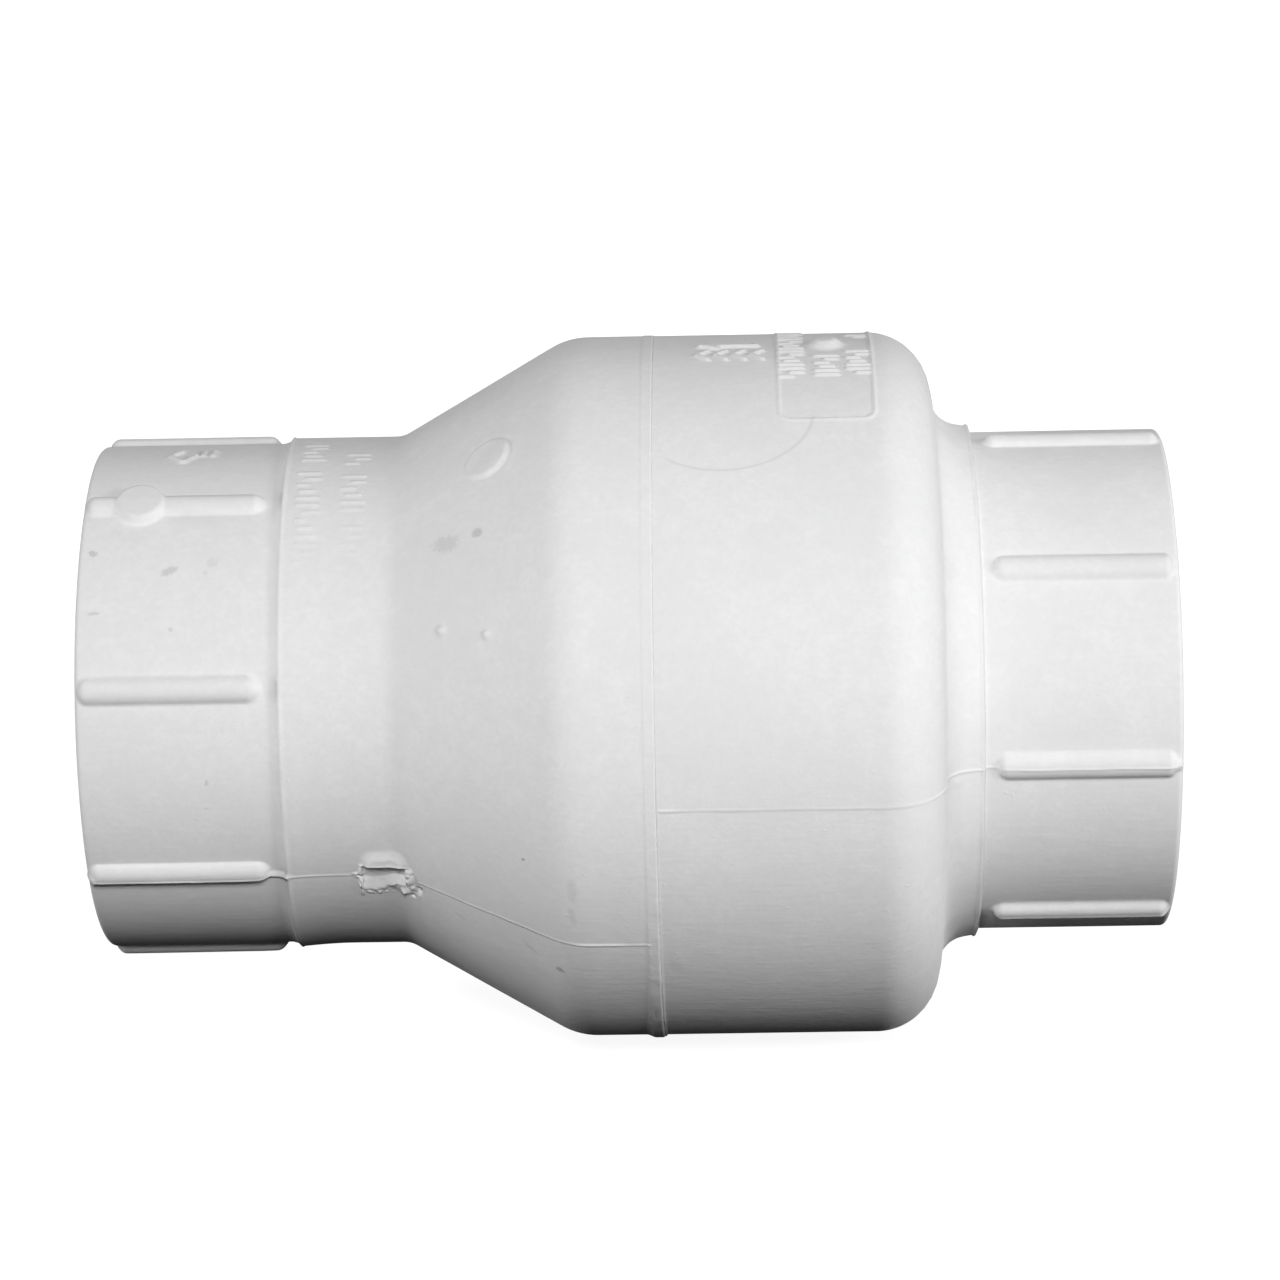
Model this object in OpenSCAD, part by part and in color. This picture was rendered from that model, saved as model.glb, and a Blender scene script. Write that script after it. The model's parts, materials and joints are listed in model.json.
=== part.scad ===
// Swing non-return valve for a nominal 3 inch plastic pipe, glued in at both ends.
// X is the flow axis: the inlet socket is at +X, the outlet socket at -X. +Z is the side that the
// flapper hangs from. The origin is on the axis, midway between the two socket faces. Millimetres.

/* [Sockets] */
// Radius of the bore that takes the pipe end
socket_bore_r = 44.6; // [43.6:0.1:45.4]
// Depth of that bore, from the socket face to the pipe stop
socket_depth = 38.1; // [36:0.1:39]
// Wall of the socket around the pipe
socket_wall = 6.4; // [5.6:0.1:7.2]
// Distance of each socket face from the middle of the valve
face_x = 108; // [106:0.5:112]
// Rounding of the outer edge of the socket rim
rim_round = 1; // [0.4:0.1:2]
// Chamfer that guides the pipe into the bore
lead_in = 1.2; // [0.5:0.1:2]
// Radial width of the ledge that stops the pipe
stop_ledge = 3.4; // [2:0.1:4]

/* [Body] */
// Outer radius of the chamber that the flapper swings in
body_r = 71.8; // [70:0.1:74]
// Wall of the chamber and of the cone
body_wall = 6.5; // [6:0.1:6.8]
// Plane where the two mouldings are welded together
seam_x = 5.4; // [0:0.1:12]
// Width of the weld bead around the seam
bead_w = 1.9; // [1:0.1:3]
// Height of the weld bead over the chamber
bead_h = 0.5; // [0.2:0.1:1]
// Length of the outlet half's tongue inside the inlet half
lap_length = 8.6; // [5:0.1:14]
// Radial thickness of that tongue
lap_wall = 3.2; // [2.4:0.1:3.8]
// Gap left ahead of the tongue
lap_gap = 0.4; // [0.2:0.1:1]

/* [Inlet end] */
// Outer face of the bulkhead, where the shoulder turns into the collar fillet
dome_x = 61.5; // [60:0.1:63]
// Rounding of the shoulder at the end of the chamber
shoulder_round = 12.8; // [9:0.1:15]
// Fillet where the shoulder runs into the collar
collar_fillet = 6; // [3:0.1:6.5]
// Thickness of the bulkhead
bulkhead_wall = 7; // [6:0.1:8]
// Wall of the collar around the seat's nozzle
collar_wall = 6.75; // [5.8:0.05:7.3]
// Length of the collar beyond its fillet
collar_length = 1.8; // [1:0.1:2.4]
// Fillet in the inner corner of the chamber
chamber_fillet = 6; // [3:0.5:6]

/* [Outlet end] */
// Where the cone starts at the chamber, before it is rounded
cone_large_x = -12.1; // [-16:0.1:-8]
// Where the cone ends at the neck
cone_small_x = -46.4; // [-50:0.1:-42]
// Where the neck steps down to the socket
neck_end_x = -69.4; // [-70:0.1:-66]
// How far the neck stands over the socket
neck_step = 1.1; // [0.5:0.1:2]
// Rounding of the large end of the cone
cone_large_round = 15; // [5:1:25]
// Fillet of the small end of the cone
cone_small_round = 6; // [3:1:20]
// Angle that the outlet half is turned about the axis against the inlet half
outlet_twist = 25; // [0:1:44]

/* [Grip ribs and moulding marks] */
// Number of ribs around each socket
rib_count = 8; // [4:1:12]
// Width of a rib where it meets the socket
rib_w = 5.5; // [4:0.1:8]
// Height of a rib over the socket
rib_h = 1.55; // [0.8:0.05:1.9]
// Distance from the collar to the near end of an inlet rib
rib_near = 2.2; // [1:0.1:4]
// Distance from the foot of the neck to the near end of an outlet rib
rib_near_outlet = 0.8; // [0.4:0.1:4]
// Distance from the rib's far end to the socket face
rib_far = 1.6; // [0.5:0.1:4]
// Radius of the round pad on one outlet rib
rib_pad_r = 4.55; // [3:0.05:6]
// Distance of that pad from the outlet face
rib_pad_inset = 11.4; // [8:0.1:20]
// Height of that pad over the socket
rib_pad_h = 1.9; // [1:0.1:3]
// Radius of the round pad on the cone
cone_pad_r = 5; // [3:0.1:6]
// Place of the cone's pad along the axis
cone_pad_x = -27; // [-34:0.5:-24]
// Radius of the round pad on the chamber, over the flapper's hinge
top_pad_r = 4.35; // [3:0.05:6]
// Place of the chamber's pad along the axis
top_pad_x = 39.7; // [30:0.1:42]
// Height of the pads on the cone and the chamber
pad_h = 0.5; // [0.2:0.1:1]
// Place of the tip of the raised flow arrow on the chamber
arrow_tip_x = 14.2; // [12.5:0.1:16]
// Length of that arrow
arrow_length = 12.2; // [8:0.1:13]
// Width of the arrow's head
arrow_w = 4.6; // [3:0.1:7]
// Width of the arrow's shaft
arrow_shaft_w = 1.4; // [0.8:0.1:2]
// Height of the arrow over the chamber
arrow_h = 0.5; // [0.2:0.1:0.8]
// Length of the trimmed injection gate along the axis
gate_length = 11.2; // [8:0.1:14]
// Width of the gate around the neck
gate_width = 10; // [7:0.1:12]
// Angle of the gate from the top, towards the front
gate_angle = 115.8; // [90:0.1:140]
// Height of the gate's stub over the neck
gate_h = 0.9; // [0.4:0.1:1.6]
// Depth of the torn hollow in the stub
gate_hollow = 0.6; // [0.2:0.1:1.2]

/* [Seat] */
// Centre of the sealing plane along the axis
seat_x = 40; // [38:0.1:40.5]
// Lean of the sealing plane, its lower edge further downstream
seat_lean = 8; // [5:0.5:9]
// How far the disc covers the seat around the waterway
seat_cover = 6.2; // [5.8:0.1:8.2]
// Wall of the seat's nozzle
nozzle_wall = 6; // [5.4:0.1:6]
// Thickness of the seat's flange
flange_t = 6; // [5:0.1:6.4]
// Gap between the seat's flange and the chamber wall
flange_gap = 6.3; // [6.1:0.1:6.9]
// Radius of the raised sealing bead's section
seat_bead_r = 1.6; // [1.2:0.1:2]
// Height of the bead over the nozzle's end
seat_bead_h = 0.8; // [0.4:0.1:1.1]
// Radius of the o-ring's section
o_ring_r = 1.35; // [1.1:0.05:1.5]
// Number of screws that hold the seat
screw_count = 6; // [4:1:8]
// Core radius of a seat screw
screw_r = 1.95; // [1.5:0.05:2.2]
// Head radius of a seat screw
screw_head_r = 4.2; // [3.6:0.1:4.5]
// Head height of a seat screw
screw_head_h = 3; // [2:0.1:3.6]
// Depth of a seat screw in the bulkhead
screw_bite = 6; // [4:0.1:7]

/* [Hinge] */
// Room between the hinge axis and the chamber wall, along the sealing plane
hinge_room = 12.3; // [11.9:0.1:12.7]
// Distance of the hinge axis downstream of the sealing plane
hinge_drop = 10; // [9.6:0.1:11]
// Radius of the hinge pin
pin_r = 2.5; // [2:0.05:2.6]
// Running clearance of the pin in its bushes and ears
pin_clearance = 0.05; // [0.02:0.01:0.1]
// Wall of the flanged bushes
bush_wall = 1.35; // [1:0.05:1.4]
// Thickness of a bush's flange
bush_flange = 1; // [0.8:0.1:1.2]
// Outer radius of the flapper's knuckle
knuckle_r = 6.2; // [6:0.1:6.4]
// Half length of the knuckle
knuckle_half = 11.8; // [11:0.1:12]
// Side play between the flapper and the ears
side_play = 0.4; // [0.2:0.1:0.6]
// Thickness of each ear
ear_t = 6; // [5:0.1:6.4]
// Radius of the ears around the pin
ear_r = 6.3; // [6:0.1:6.5]
// How far the flapper opens
open_deg = 62; // [45:1:63]
// Reach of the heel that stops the flapper, from the hinge axis
heel_reach = 10; // [9.4:0.1:10.2]
// Thickness of the heel
heel_t = 5; // [4:0.1:6]
// Width of the heel
heel_w = 10; // [8:0.5:14]

/* [Flapper] */
// Distance of the disc's edge from the hinge axis, along the sealing plane
disc_drop = 6.8; // [6.4:0.1:7]
// Wall of the disc behind the seal
disc_wall = 5; // [4:0.1:5.4]
// Thickness of the seal
seal_t = 3; // [2.4:0.1:3.6]
// Depth of the recess that holds the seal
seal_recess = 1.5; // [0.8:0.1:1.8]
// Width of the lip around the seal
seal_lip = 1.4; // [1:0.1:1.5]
// Height of the stiffening ribs on the back of the disc
disc_rib_h = 2; // [1:0.1:2.2]
// Height of the rim that they run into
disc_rim_h = 2.4; // [2.3:0.1:2.7]
// Width of that rim
disc_rim_w = 1; // [0.8:0.1:2]
// Thickness of those ribs
disc_rib_t = 2.4; // [1.6:0.1:3.2]
// Number of ribs on the back of the disc
disc_ribs = 8; // [6:2:12]
// Radius of the raised hub in the middle of the disc
hub_r = 13; // [12:0.5:15]
// Height of that hub over the back of the disc
hub_h = 3; // [2.8:0.1:3.4]
// Gap between the waterway and the plate that clamps the seal
retainer_gap = 8; // [6:0.5:14]
// Thickness of that plate
retainer_t = 2.5; // [1.6:0.1:3]
// Thickness of the arm
arm_t = 5; // [4.4:0.1:5.4]
// Width of the arm at the hub
arm_hub_w = 18; // [14:0.5:22]
// Width of the arm at the knuckle
arm_top_w = 15; // [12:0.5:18]
// Height of the rib along the arm
arm_rib_h = 3; // [1.5:0.1:3.4]
// Thickness of that rib
arm_rib_t = 4; // [2:0.1:6]
// Nominal radius of the clamp bolt
bolt_r = 4; // [3:0.1:4.4]
// Width across the flats of its head and nut
bolt_flats = 13; // [11:0.1:14]
// Height of the bolt's head
bolt_head_h = 5.3; // [4:0.1:6]
// Height of the lock nut
nut_h = 8; // [6:0.1:8.5]
// Thickness of the sealing washer under the bolt's head
bolt_seal_t = 1; // [0.8:0.1:1.5]
// Radius of the washers
washer_r = 8; // [7.8:0.1:9]
// Thickness of the washer under the nut
washer_t = 1.6; // [1:0.1:2]

/* [Hidden] */
$fn = 96;

// Overlap that lets one solid run into another before they are joined or cut
e = 0.5;
// Slack of a part that is only placed by its neighbour
slack = 0.1;
// Gap between the closed flapper and its seat, and at the open stop
rest_gap = 0.1;
stop_gap = 0.3;

// Sizes of the seat and the flapper that follow from the chamber's
chamber_r = body_r - body_wall;
hinge_rise = chamber_r - hinge_room;
disc_r = hinge_rise - disc_drop;
throat_r = disc_r - seat_cover;
nozzle_r = throat_r + nozzle_wall;
pocket_r = nozzle_r + slack;
flange_r = chamber_r - flange_gap;

// Sizes of the two mouldings
socket_r = socket_bore_r + socket_wall;
ledge_r = socket_bore_r - stop_ledge;
stop_x = face_x - socket_depth;
collar_r = pocket_r + collar_wall;
collar_end_x = dome_x + collar_fillet + collar_length;
// The shoulder's rounding and the collar's fillet both shrink where the step is too low for them
shoulder_flat = 0.15;
round_fit = min(1, (body_r - collar_r - shoulder_flat) / (shoulder_round + collar_fillet));
neck_r = socket_r + neck_step;
lap_r = chamber_r + lap_wall;
bulkhead_x = dome_x - bulkhead_wall;
cone_slope = atan2(body_r - neck_r, cone_large_x - cone_small_x);
cone_wall = body_wall / cos(cone_slope);
function cone_r(x) = neck_r + (x - cone_small_x) * tan(cone_slope);
pad_root = 2;
gate_margin = 1.4;

// Sizes of the seat's pocket, sealing bead, groove and screws
ledge_t = 4;
pocket_end_x = stop_x - ledge_t;
flange_x = bulkhead_x - flange_t;
seat_bead_inset = 0.6;
seat_bead_ring = nozzle_r - seat_bead_h - seat_bead_r - seat_bead_inset;
groove_play = 1.2;
groove_w = 2 * o_ring_r + groove_play;
groove_r = pocket_r - 2 * o_ring_r - slack / 2;
groove_x = (bulkhead_x + pocket_end_x) / 2;
screw_ring_r = (nozzle_r + flange_r) / 2 + e;
flange_chamfer = 1;
screw_key_r = 0.9 * screw_r;
pocket_lead = 0.8;
ear_root_sink = 2;
shelf_gap = 1;

// Hinge sizes that follow; a point given in the leaning seat frame is turned into the valve's frame
function in_valve(x, z) = [seat_x + x * cos(seat_lean) + z * sin(seat_lean),
    z * cos(seat_lean) - x * sin(seat_lean)];
hinge = in_valve(-hinge_drop, hinge_rise);
hole_r = pin_r + pin_clearance;
bush_r = hole_r + bush_wall;
bush_flange_r = knuckle_r - e;
bush_length = 8;
ear_in = knuckle_half + bush_flange + side_play;
ear_out = ear_in + ear_t;
pin_washer_t = 0.8;
pin_washer_r = 5;
clip_t = 0.8;
clip_y = ear_out + pin_washer_t + 2 * slack;
clip_r = 4.4;
clip_slot = 2.4;
clip_bite = 0.6;
pin_groove_r = pin_r - clip_bite;
pin_tail = 1.5;
pin_end = clip_y + clip_t + pin_tail;
pin_chamfer = 0.4;

// Flapper sizes that follow, measured along the seat frame's own axis, downstream negative
disc_front_x = -seal_t + seal_recess;
disc_back_x = -seal_t - disc_wall;
hub_x = disc_back_x - hub_h;
arm_x = hub_x - arm_t;
bolt_hole_r = bolt_r + 2 * slack;
bolt_head_x = retainer_t + bolt_seal_t;
nut_x = arm_x - washer_t;
bolt_tail = 1.4;
bolt_end_x = nut_x - nut_h - bolt_tail;
nut_insert_w = 1.8;
nut_insert_r = bolt_r + nut_insert_w;
nut_insert_t = 2;
nut_collar_w = 0.8;
nut_collar_r = nut_insert_r + nut_collar_w;
retainer_r = throat_r - retainer_gap;
arm_rib_foot = 5;
arm_inset = 1;

// Tones of the pieces
white = [0.93, 0.93, 0.92];
warm_white = [0.9, 0.89, 0.86];
grey = [0.62, 0.64, 0.66];
steel = [0.72, 0.73, 0.75];
rubber = [0.1, 0.1, 0.1];
acetal = [0.86, 0.84, 0.78];

// Turns a shape built along Z so that it lies along +X
module along_x() rotate([0, 90, 0]) children();

// Turns a shape around the flow axis, from the top towards the front
module around(angle) rotate([angle, 0, 0]) children();

// Places a shape in the leaning frame of the seat
module in_seat() translate([seat_x, 0, 0]) rotate([0, seat_lean, 0]) children();

// Disc or tube along X from x0 to x1
module rod(r, x0, x1) translate([x0, 0, 0]) along_x() cylinder(r = r, h = x1 - x0);

// Rod along Y from y0 to y1, on the hinge axis
module hinge_rod(r, y0, y1)
    translate([hinge.x, y1, hinge.y]) rotate([90, 0, 0]) cylinder(r = r, h = y1 - y0);

// Plate cut to an outline in the XZ plane, from y0 to y1
module plate_xz(y0, y1) translate([0, y1, 0]) rotate([90, 0, 0]) linear_extrude(y1 - y0) children();

// Plate cut to an outline in the YZ plane, from x0 to x1
module plate_yz(x0, x1) translate([x0, 0, 0]) rotate([90, 0, 90]) linear_extrude(x1 - x0) children();

// Sliver between a corner and the round that replaces it: cut from a bulge, added to a hollow
module round_off(before, corner, after, r) {
    u = (before - corner) / norm(before - corner);
    v = (after - corner) / norm(after - corner);
    half = acos(u * v) / 2;
    run = r / tan(half);
    middle = corner + (u + v) / norm(u + v) * r / sin(half);
    difference() {
        polygon([corner, corner + run * u, corner + run * v]);
        translate(middle) circle(r);
    }
}

// Bar with round ends along X, centred on the axis
module capsule(r, x0, x1) {
    translate([x0, 0, 0]) along_x() rotate_extrude() {
        intersection() {
            union() {
                translate([0, r]) circle(r);
                translate([0, x1 - x0 - r]) circle(r);
            }
            square([r, x1 - x0]);
        }
        translate([0, r]) square([r, x1 - x0 - 2 * r]);
    }
}

// Ring of grip ribs around a socket, between x0 and x1
module grip_ribs(x0, x1) {
    sunk = (rib_w * rib_w / 4 - rib_h * rib_h) / (2 * rib_h);
    rib_r = rib_h + sunk;
    for (i = [0:rib_count - 1])
        around(i * 360 / rib_count) translate([0, 0, socket_r - sunk]) capsule(rib_r, x0, x1);
}

// Round pad left by a mould pin, standing h over a surface at radius r
module pad(x, r, pad_r, h) translate([x, 0, r - pad_root]) cylinder(r = pad_r, h = h + pad_root);

// Half section of the inlet moulding's outside, as radius and place along the axis
module inlet_outside() {
    shoulder = [body_r, dome_x];
    foot = [collar_r, dome_x];
    rim = [socket_r, face_x];
    difference() {
        union() {
            polygon([[0, seam_x], [body_r, seam_x], shoulder, foot, [collar_r, collar_end_x],
                [socket_r, collar_end_x], rim, [0, face_x]]);
            round_off(shoulder, foot, [collar_r, collar_end_x], round_fit * collar_fillet);
        }
        round_off([body_r, seam_x], shoulder, foot, round_fit * shoulder_round);
        round_off([socket_r, collar_end_x], rim, [0, face_x], rim_round);
    }
}

// Half section of the inlet moulding's hollow
module inlet_hollow() {
    corner = [chamber_r, bulkhead_x];
    difference() {
        polygon([[0, seam_x - e], [lap_r, seam_x - e], [lap_r, seam_x + lap_length + lap_gap],
            [chamber_r, seam_x + lap_length + lap_gap], corner, [pocket_r + pocket_lead, bulkhead_x],
            [pocket_r, bulkhead_x + pocket_lead], [pocket_r, pocket_end_x], [ledge_r, pocket_end_x],
            [ledge_r, stop_x], [socket_bore_r, stop_x], [socket_bore_r, face_x - lead_in],
            [socket_bore_r + lead_in + e, face_x + e], [0, face_x + e]]);
        round_off([chamber_r, seam_x], corner, [pocket_r, bulkhead_x], chamber_fillet);
    }
}

// Half section of the outlet moulding's outside
module outlet_outside() {
    rim = [socket_r, -face_x];
    small = [neck_r, cone_small_x];
    large = [body_r, cone_large_x];
    difference() {
        union() {
            polygon([[0, -face_x], rim, [socket_r, neck_end_x - neck_step], [neck_r, neck_end_x],
                small, large, [body_r, seam_x - bead_w], [body_r + bead_h, seam_x - bead_w + bead_h],
                [body_r + bead_h, seam_x], [lap_r, seam_x], [lap_r, seam_x + lap_length],
                [0, seam_x + lap_length]]);
            round_off([neck_r, neck_end_x], small, large, cone_small_round);
        }
        round_off(small, large, [body_r, seam_x], cone_large_round);
        round_off([0, -face_x], rim, [socket_r, neck_end_x], rim_round);
    }
}

// Half section of the outlet moulding's hollow
module outlet_hollow() {
    small = [cone_r(cone_small_x) - cone_wall, cone_small_x];
    large = [chamber_r, cone_large_x + (cone_wall - body_wall) / tan(cone_slope)];
    difference() {
        polygon([[0, -face_x - e], [socket_bore_r + lead_in + e, -face_x - e],
            [socket_bore_r, -face_x + lead_in], [socket_bore_r, -stop_x], [ledge_r, -stop_x],
            small, large, [chamber_r, seam_x + lap_length + e], [0, seam_x + lap_length + e]]);
        round_off(small, large, [chamber_r, seam_x], cone_large_round);
    }
}

// Places its children at each seat screw
module at_screws()
    for (i = [0:screw_count - 1])
        around((i + 0.5) * 360 / screw_count) translate([0, 0, screw_ring_r]) children();

// Raised arrow that shows the direction of flow, towards the outlet
module flow_arrow() {
    tail = arrow_tip_x + arrow_length;
    neck = arrow_tip_x + arrow_w;
    translate([0, 0, body_r - pad_root]) linear_extrude(pad_root + arrow_h)
        polygon([[arrow_tip_x, 0], [neck, arrow_w / 2], [neck, arrow_shaft_w / 2],
            [tail, arrow_shaft_w / 2], [tail, -arrow_shaft_w / 2], [neck, -arrow_shaft_w / 2],
            [neck, -arrow_w / 2]]);
}

module inlet_body() {
    color(white) difference() {
        union() {
            along_x() rotate_extrude() inlet_outside();
            grip_ribs(collar_end_x + rib_near, face_x - rib_far);
            pad(top_pad_x, body_r, top_pad_r, pad_h);
            flow_arrow();
        }
        along_x() rotate_extrude() inlet_hollow();
        at_screws() rod(screw_r, bulkhead_x - e, bulkhead_x + screw_bite + e);
    }
}

module outlet_body() {
    color(white) around(outlet_twist) difference() {
        union() {
            along_x() rotate_extrude() outlet_outside();
            grip_ribs(-face_x + rib_far, neck_end_x - neck_step - rib_near_outlet);
            pad(-face_x + rib_pad_inset, socket_r, rib_pad_r, rib_pad_h);
            translate([cone_pad_x, 0, cone_r(cone_pad_x)]) rotate([0, -cone_slope, 0])
                pad(0, 0, cone_pad_r, pad_h);
            around(gate_angle - outlet_twist) gate_stub();
        }
        along_x() rotate_extrude() outlet_hollow();
    }
}

// Stub of the trimmed gate, with the hollow where it tore
module gate_stub() {
    middle = cone_small_x - gate_length / 2 - gate_margin;
    difference() {
        translate([middle, 0, neck_r]) cube([gate_length, gate_width, 2 * gate_h], center = true);
        translate([middle, 0, neck_r + gate_h])
            cube([gate_length - 2 * gate_margin, gate_width - 2 * gate_margin, 2 * gate_hollow],
                center = true);
    }
}

// One ear that carries the hinge pin, as an outline in the XZ plane
module ear_outline() {
    root_z = sqrt(flange_r * flange_r - ear_out * ear_out) - flange_chamfer;
    root = [flange_x + e, root_z] - hinge;
    tip_angle = atan2(root.y, root.x) + acos(ear_r / norm(root));
    nozzle_top = in_valve(seat_bead_h, nozzle_r - ear_root_sink);
    translate(hinge) circle(ear_r);
    polygon([hinge + ear_r * [cos(tip_angle), sin(tip_angle)], hinge + root,
        [flange_x + e, nozzle_top.y], nozzle_top, hinge - [0, ear_r], hinge - [ear_r / 2, 0]]);
}

// Shelf that the heel of the open flapper comes down on
module heel_shelf() {
    intersection() {
        translate([hinge.x, 0, hinge.y]) rotate([0, seat_lean + open_deg, 0])
            translate([heel_t / 2 + stop_gap, -ear_in - e, knuckle_r + shelf_gap])
            cube([nozzle_r, 2 * (ear_in + e), nozzle_r]);
        translate([seat_x, -ear_in - e, nozzle_r - nozzle_wall / 2])
            cube([flange_x - seat_x + e, 2 * (ear_in + e), flange_r - nozzle_r]);
    }
}

module seat_ring() {
    color(warm_white) difference() {
        union() {
            along_x() rotate_extrude() difference() {
                polygon([[0, flange_x], [flange_r - flange_chamfer, flange_x],
                    [flange_r, flange_x + flange_chamfer], [flange_r, bulkhead_x], [nozzle_r, bulkhead_x],
                    [nozzle_r, pocket_end_x - slack], [0, pocket_end_x - slack]]);
                translate([groove_r, groove_x - groove_w / 2]) square([nozzle_r, groove_w]);
            }
            intersection() {
                in_seat() rod(nozzle_r, seat_bead_h, flange_x);
                rod(body_r, 0, flange_x + flange_t / 2);
            }
            in_seat() along_x() translate([0, 0, seat_bead_r])
                rotate_extrude() translate([seat_bead_ring, 0]) circle(seat_bead_r);
            for (side = [-ear_out, ear_in]) plate_xz(side, side + ear_t) ear_outline();
            heel_shelf();
        }
        rod(throat_r, seat_x, face_x);
        in_seat() rod(throat_r, -e, flange_x - seat_x);
        hinge_rod(hole_r, -body_r, body_r);
        at_screws() rod(screw_r + 2 * slack, flange_x - e, bulkhead_x + e);
    }
}

module seat_o_ring() {
    ring = pocket_r - slack / 4 - o_ring_r;
    color(rubber) translate([groove_x, 0, 0]) along_x()
        rotate_extrude() translate([ring, 0]) circle(o_ring_r);
}

module seat_screws() {
    edge = [screw_head_r, screw_head_h];
    color(steel) at_screws() {
        difference() {
            translate([flange_x, 0, 0]) rotate([0, -90, 0]) rotate_extrude() difference() {
                square(edge);
                round_off([edge.x, 0], edge, [0, edge.y], edge.y / 2);
            }
            rod(screw_key_r, flange_x - screw_head_h - e, flange_x - screw_head_h / 2, $fn = 6);
        }
        rod(screw_r, flange_x, bulkhead_x + screw_bite);
    }
}

module hinge_pin() {
    length = 2 * pin_end;
    color(steel) difference() {
        translate([hinge.x, pin_end, hinge.y]) rotate([90, 0, 0]) rotate_extrude()
            polygon([[0, 0], [pin_r - pin_chamfer, 0], [pin_r, pin_chamfer],
                [pin_r, length - pin_chamfer], [pin_r - pin_chamfer, length], [0, length]]);
        for (side = [-1, 1]) difference() {
            hinge_rod(pin_r + e, side * (clip_y + clip_t / 2) - clip_t / 2 - slack / 2,
                side * (clip_y + clip_t / 2) + clip_t / 2 + slack / 2);
            hinge_rod(pin_groove_r, -pin_end, pin_end);
        }
    }
}

// Washer between an ear and the clip, on one side
module pin_washer(side) {
    middle = side * (ear_out + slack + pin_washer_t / 2);
    color(steel) difference() {
        hinge_rod(pin_washer_r, middle - pin_washer_t / 2, middle + pin_washer_t / 2);
        hinge_rod(pin_r + slack, -pin_end, pin_end);
    }
}

// Open clip in the pin's groove, on one side
module pin_clip(side) {
    middle = side * (clip_y + clip_t / 2);
    color(steel) difference() {
        hinge_rod(clip_r, middle - clip_t / 2, middle + clip_t / 2);
        hinge_rod(pin_groove_r + slack / 2, -pin_end, pin_end);
        translate([hinge.x - clip_slot / 2, -pin_end, hinge.y]) cube([clip_slot, 2 * pin_end, clip_r + e]);
        for (turn = [-1, 1]) translate([hinge.x, 0, hinge.y]) rotate([0, turn * 120, 0])
            translate([0, pin_end, clip_r]) rotate([90, 0, 0])
            cylinder(r = clip_r / 3, h = 2 * pin_end);
    }
}

module pin_washer_front() pin_washer(-1);
module pin_washer_rear() pin_washer(1);
module pin_clip_front() pin_clip(-1);
module pin_clip_rear() pin_clip(1);

// Outline of the arm's rib, in the seat frame's XZ plane
module arm_rib_outline() {
    foot = washer_r + arm_rib_foot;
    top = hinge_rise - knuckle_r - arm_inset;
    polygon([[arm_x + e, foot], [arm_x - arm_rib_h, foot + 2 * arm_rib_h],
        [arm_x - arm_rib_h, top - 2 * arm_rib_h], [arm_x + e, top]]);
}

module flapper_arm() {
    foot = arm_hub_w / 2;
    top = arm_top_w / 2;
    color(grey) difference() {
        union() {
            in_seat() plate_yz(arm_x, hub_x) {
                circle(hub_r - arm_inset);
                polygon([[-foot, 0], [foot, 0], [top, hinge_rise], [-top, hinge_rise]]);
            }
            in_seat() plate_xz(-arm_rib_t / 2, arm_rib_t / 2) arm_rib_outline();
            in_seat() translate([-hinge_drop - heel_t / 2, -heel_w / 2, hinge_rise])
                cube([heel_t, heel_w, heel_reach]);
            hinge_rod(knuckle_r, -knuckle_half, knuckle_half);
        }
        hinge_rod(bush_r, -knuckle_half - e, knuckle_half + e);
        in_seat() rod(bolt_hole_r, arm_x - e, hub_x + e);
    }
}

// Flanged bush in one end of the knuckle
module arm_bush(side) {
    color(acetal) difference() {
        union() {
            hinge_rod(bush_r, min(side * (knuckle_half - bush_length), side * knuckle_half),
                max(side * (knuckle_half - bush_length), side * knuckle_half));
            hinge_rod(bush_flange_r, min(side * knuckle_half, side * (knuckle_half + bush_flange)),
                max(side * knuckle_half, side * (knuckle_half + bush_flange)));
        }
        hinge_rod(hole_r, -pin_end, pin_end);
    }
}

module arm_bush_front() arm_bush(-1);
module arm_bush_rear() arm_bush(1);

module flapper_disc() {
    recess_r = disc_r - seal_lip;
    rim_r = recess_r - disc_rim_w;
    rim_x = disc_back_x - disc_rim_h;
    color(white) in_seat() difference() {
        union() {
            along_x() rotate_extrude() difference() {
                polygon([[0, hub_x], [hub_r, hub_x], [hub_r, disc_back_x], [rim_r, disc_back_x],
                    [rim_r, rim_x], [recess_r, rim_x], [disc_r, disc_back_x], [disc_r, disc_front_x],
                    [0, disc_front_x]]);
                translate([0, -seal_t]) square([recess_r, seal_t]);
            }
            for (i = [0:disc_ribs - 1]) rotate([i * 360 / disc_ribs, 0, 0])
                translate([disc_back_x - disc_rib_h, -disc_rib_t / 2, hub_r - e])
                cube([disc_rib_h + e, disc_rib_t, rim_r + e - hub_r + e]);
        }
        rod(bolt_hole_r, hub_x - e, disc_front_x + e);
    }
}

module disc_seal() {
    color(rubber) in_seat() difference() {
        rod(disc_r - seal_lip - slack, -seal_t, -rest_gap);
        rod(bolt_hole_r, -seal_t - e, e);
    }
}

module seal_retainer() {
    color(steel) in_seat() difference() {
        along_x() rotate_extrude()
            polygon([[0, -rest_gap], [retainer_r, -rest_gap], [retainer_r, retainer_t / 2],
                [retainer_r - retainer_t / 2, retainer_t], [0, retainer_t]]);
        rod(bolt_hole_r, -e, retainer_t + e);
    }
}

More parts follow.
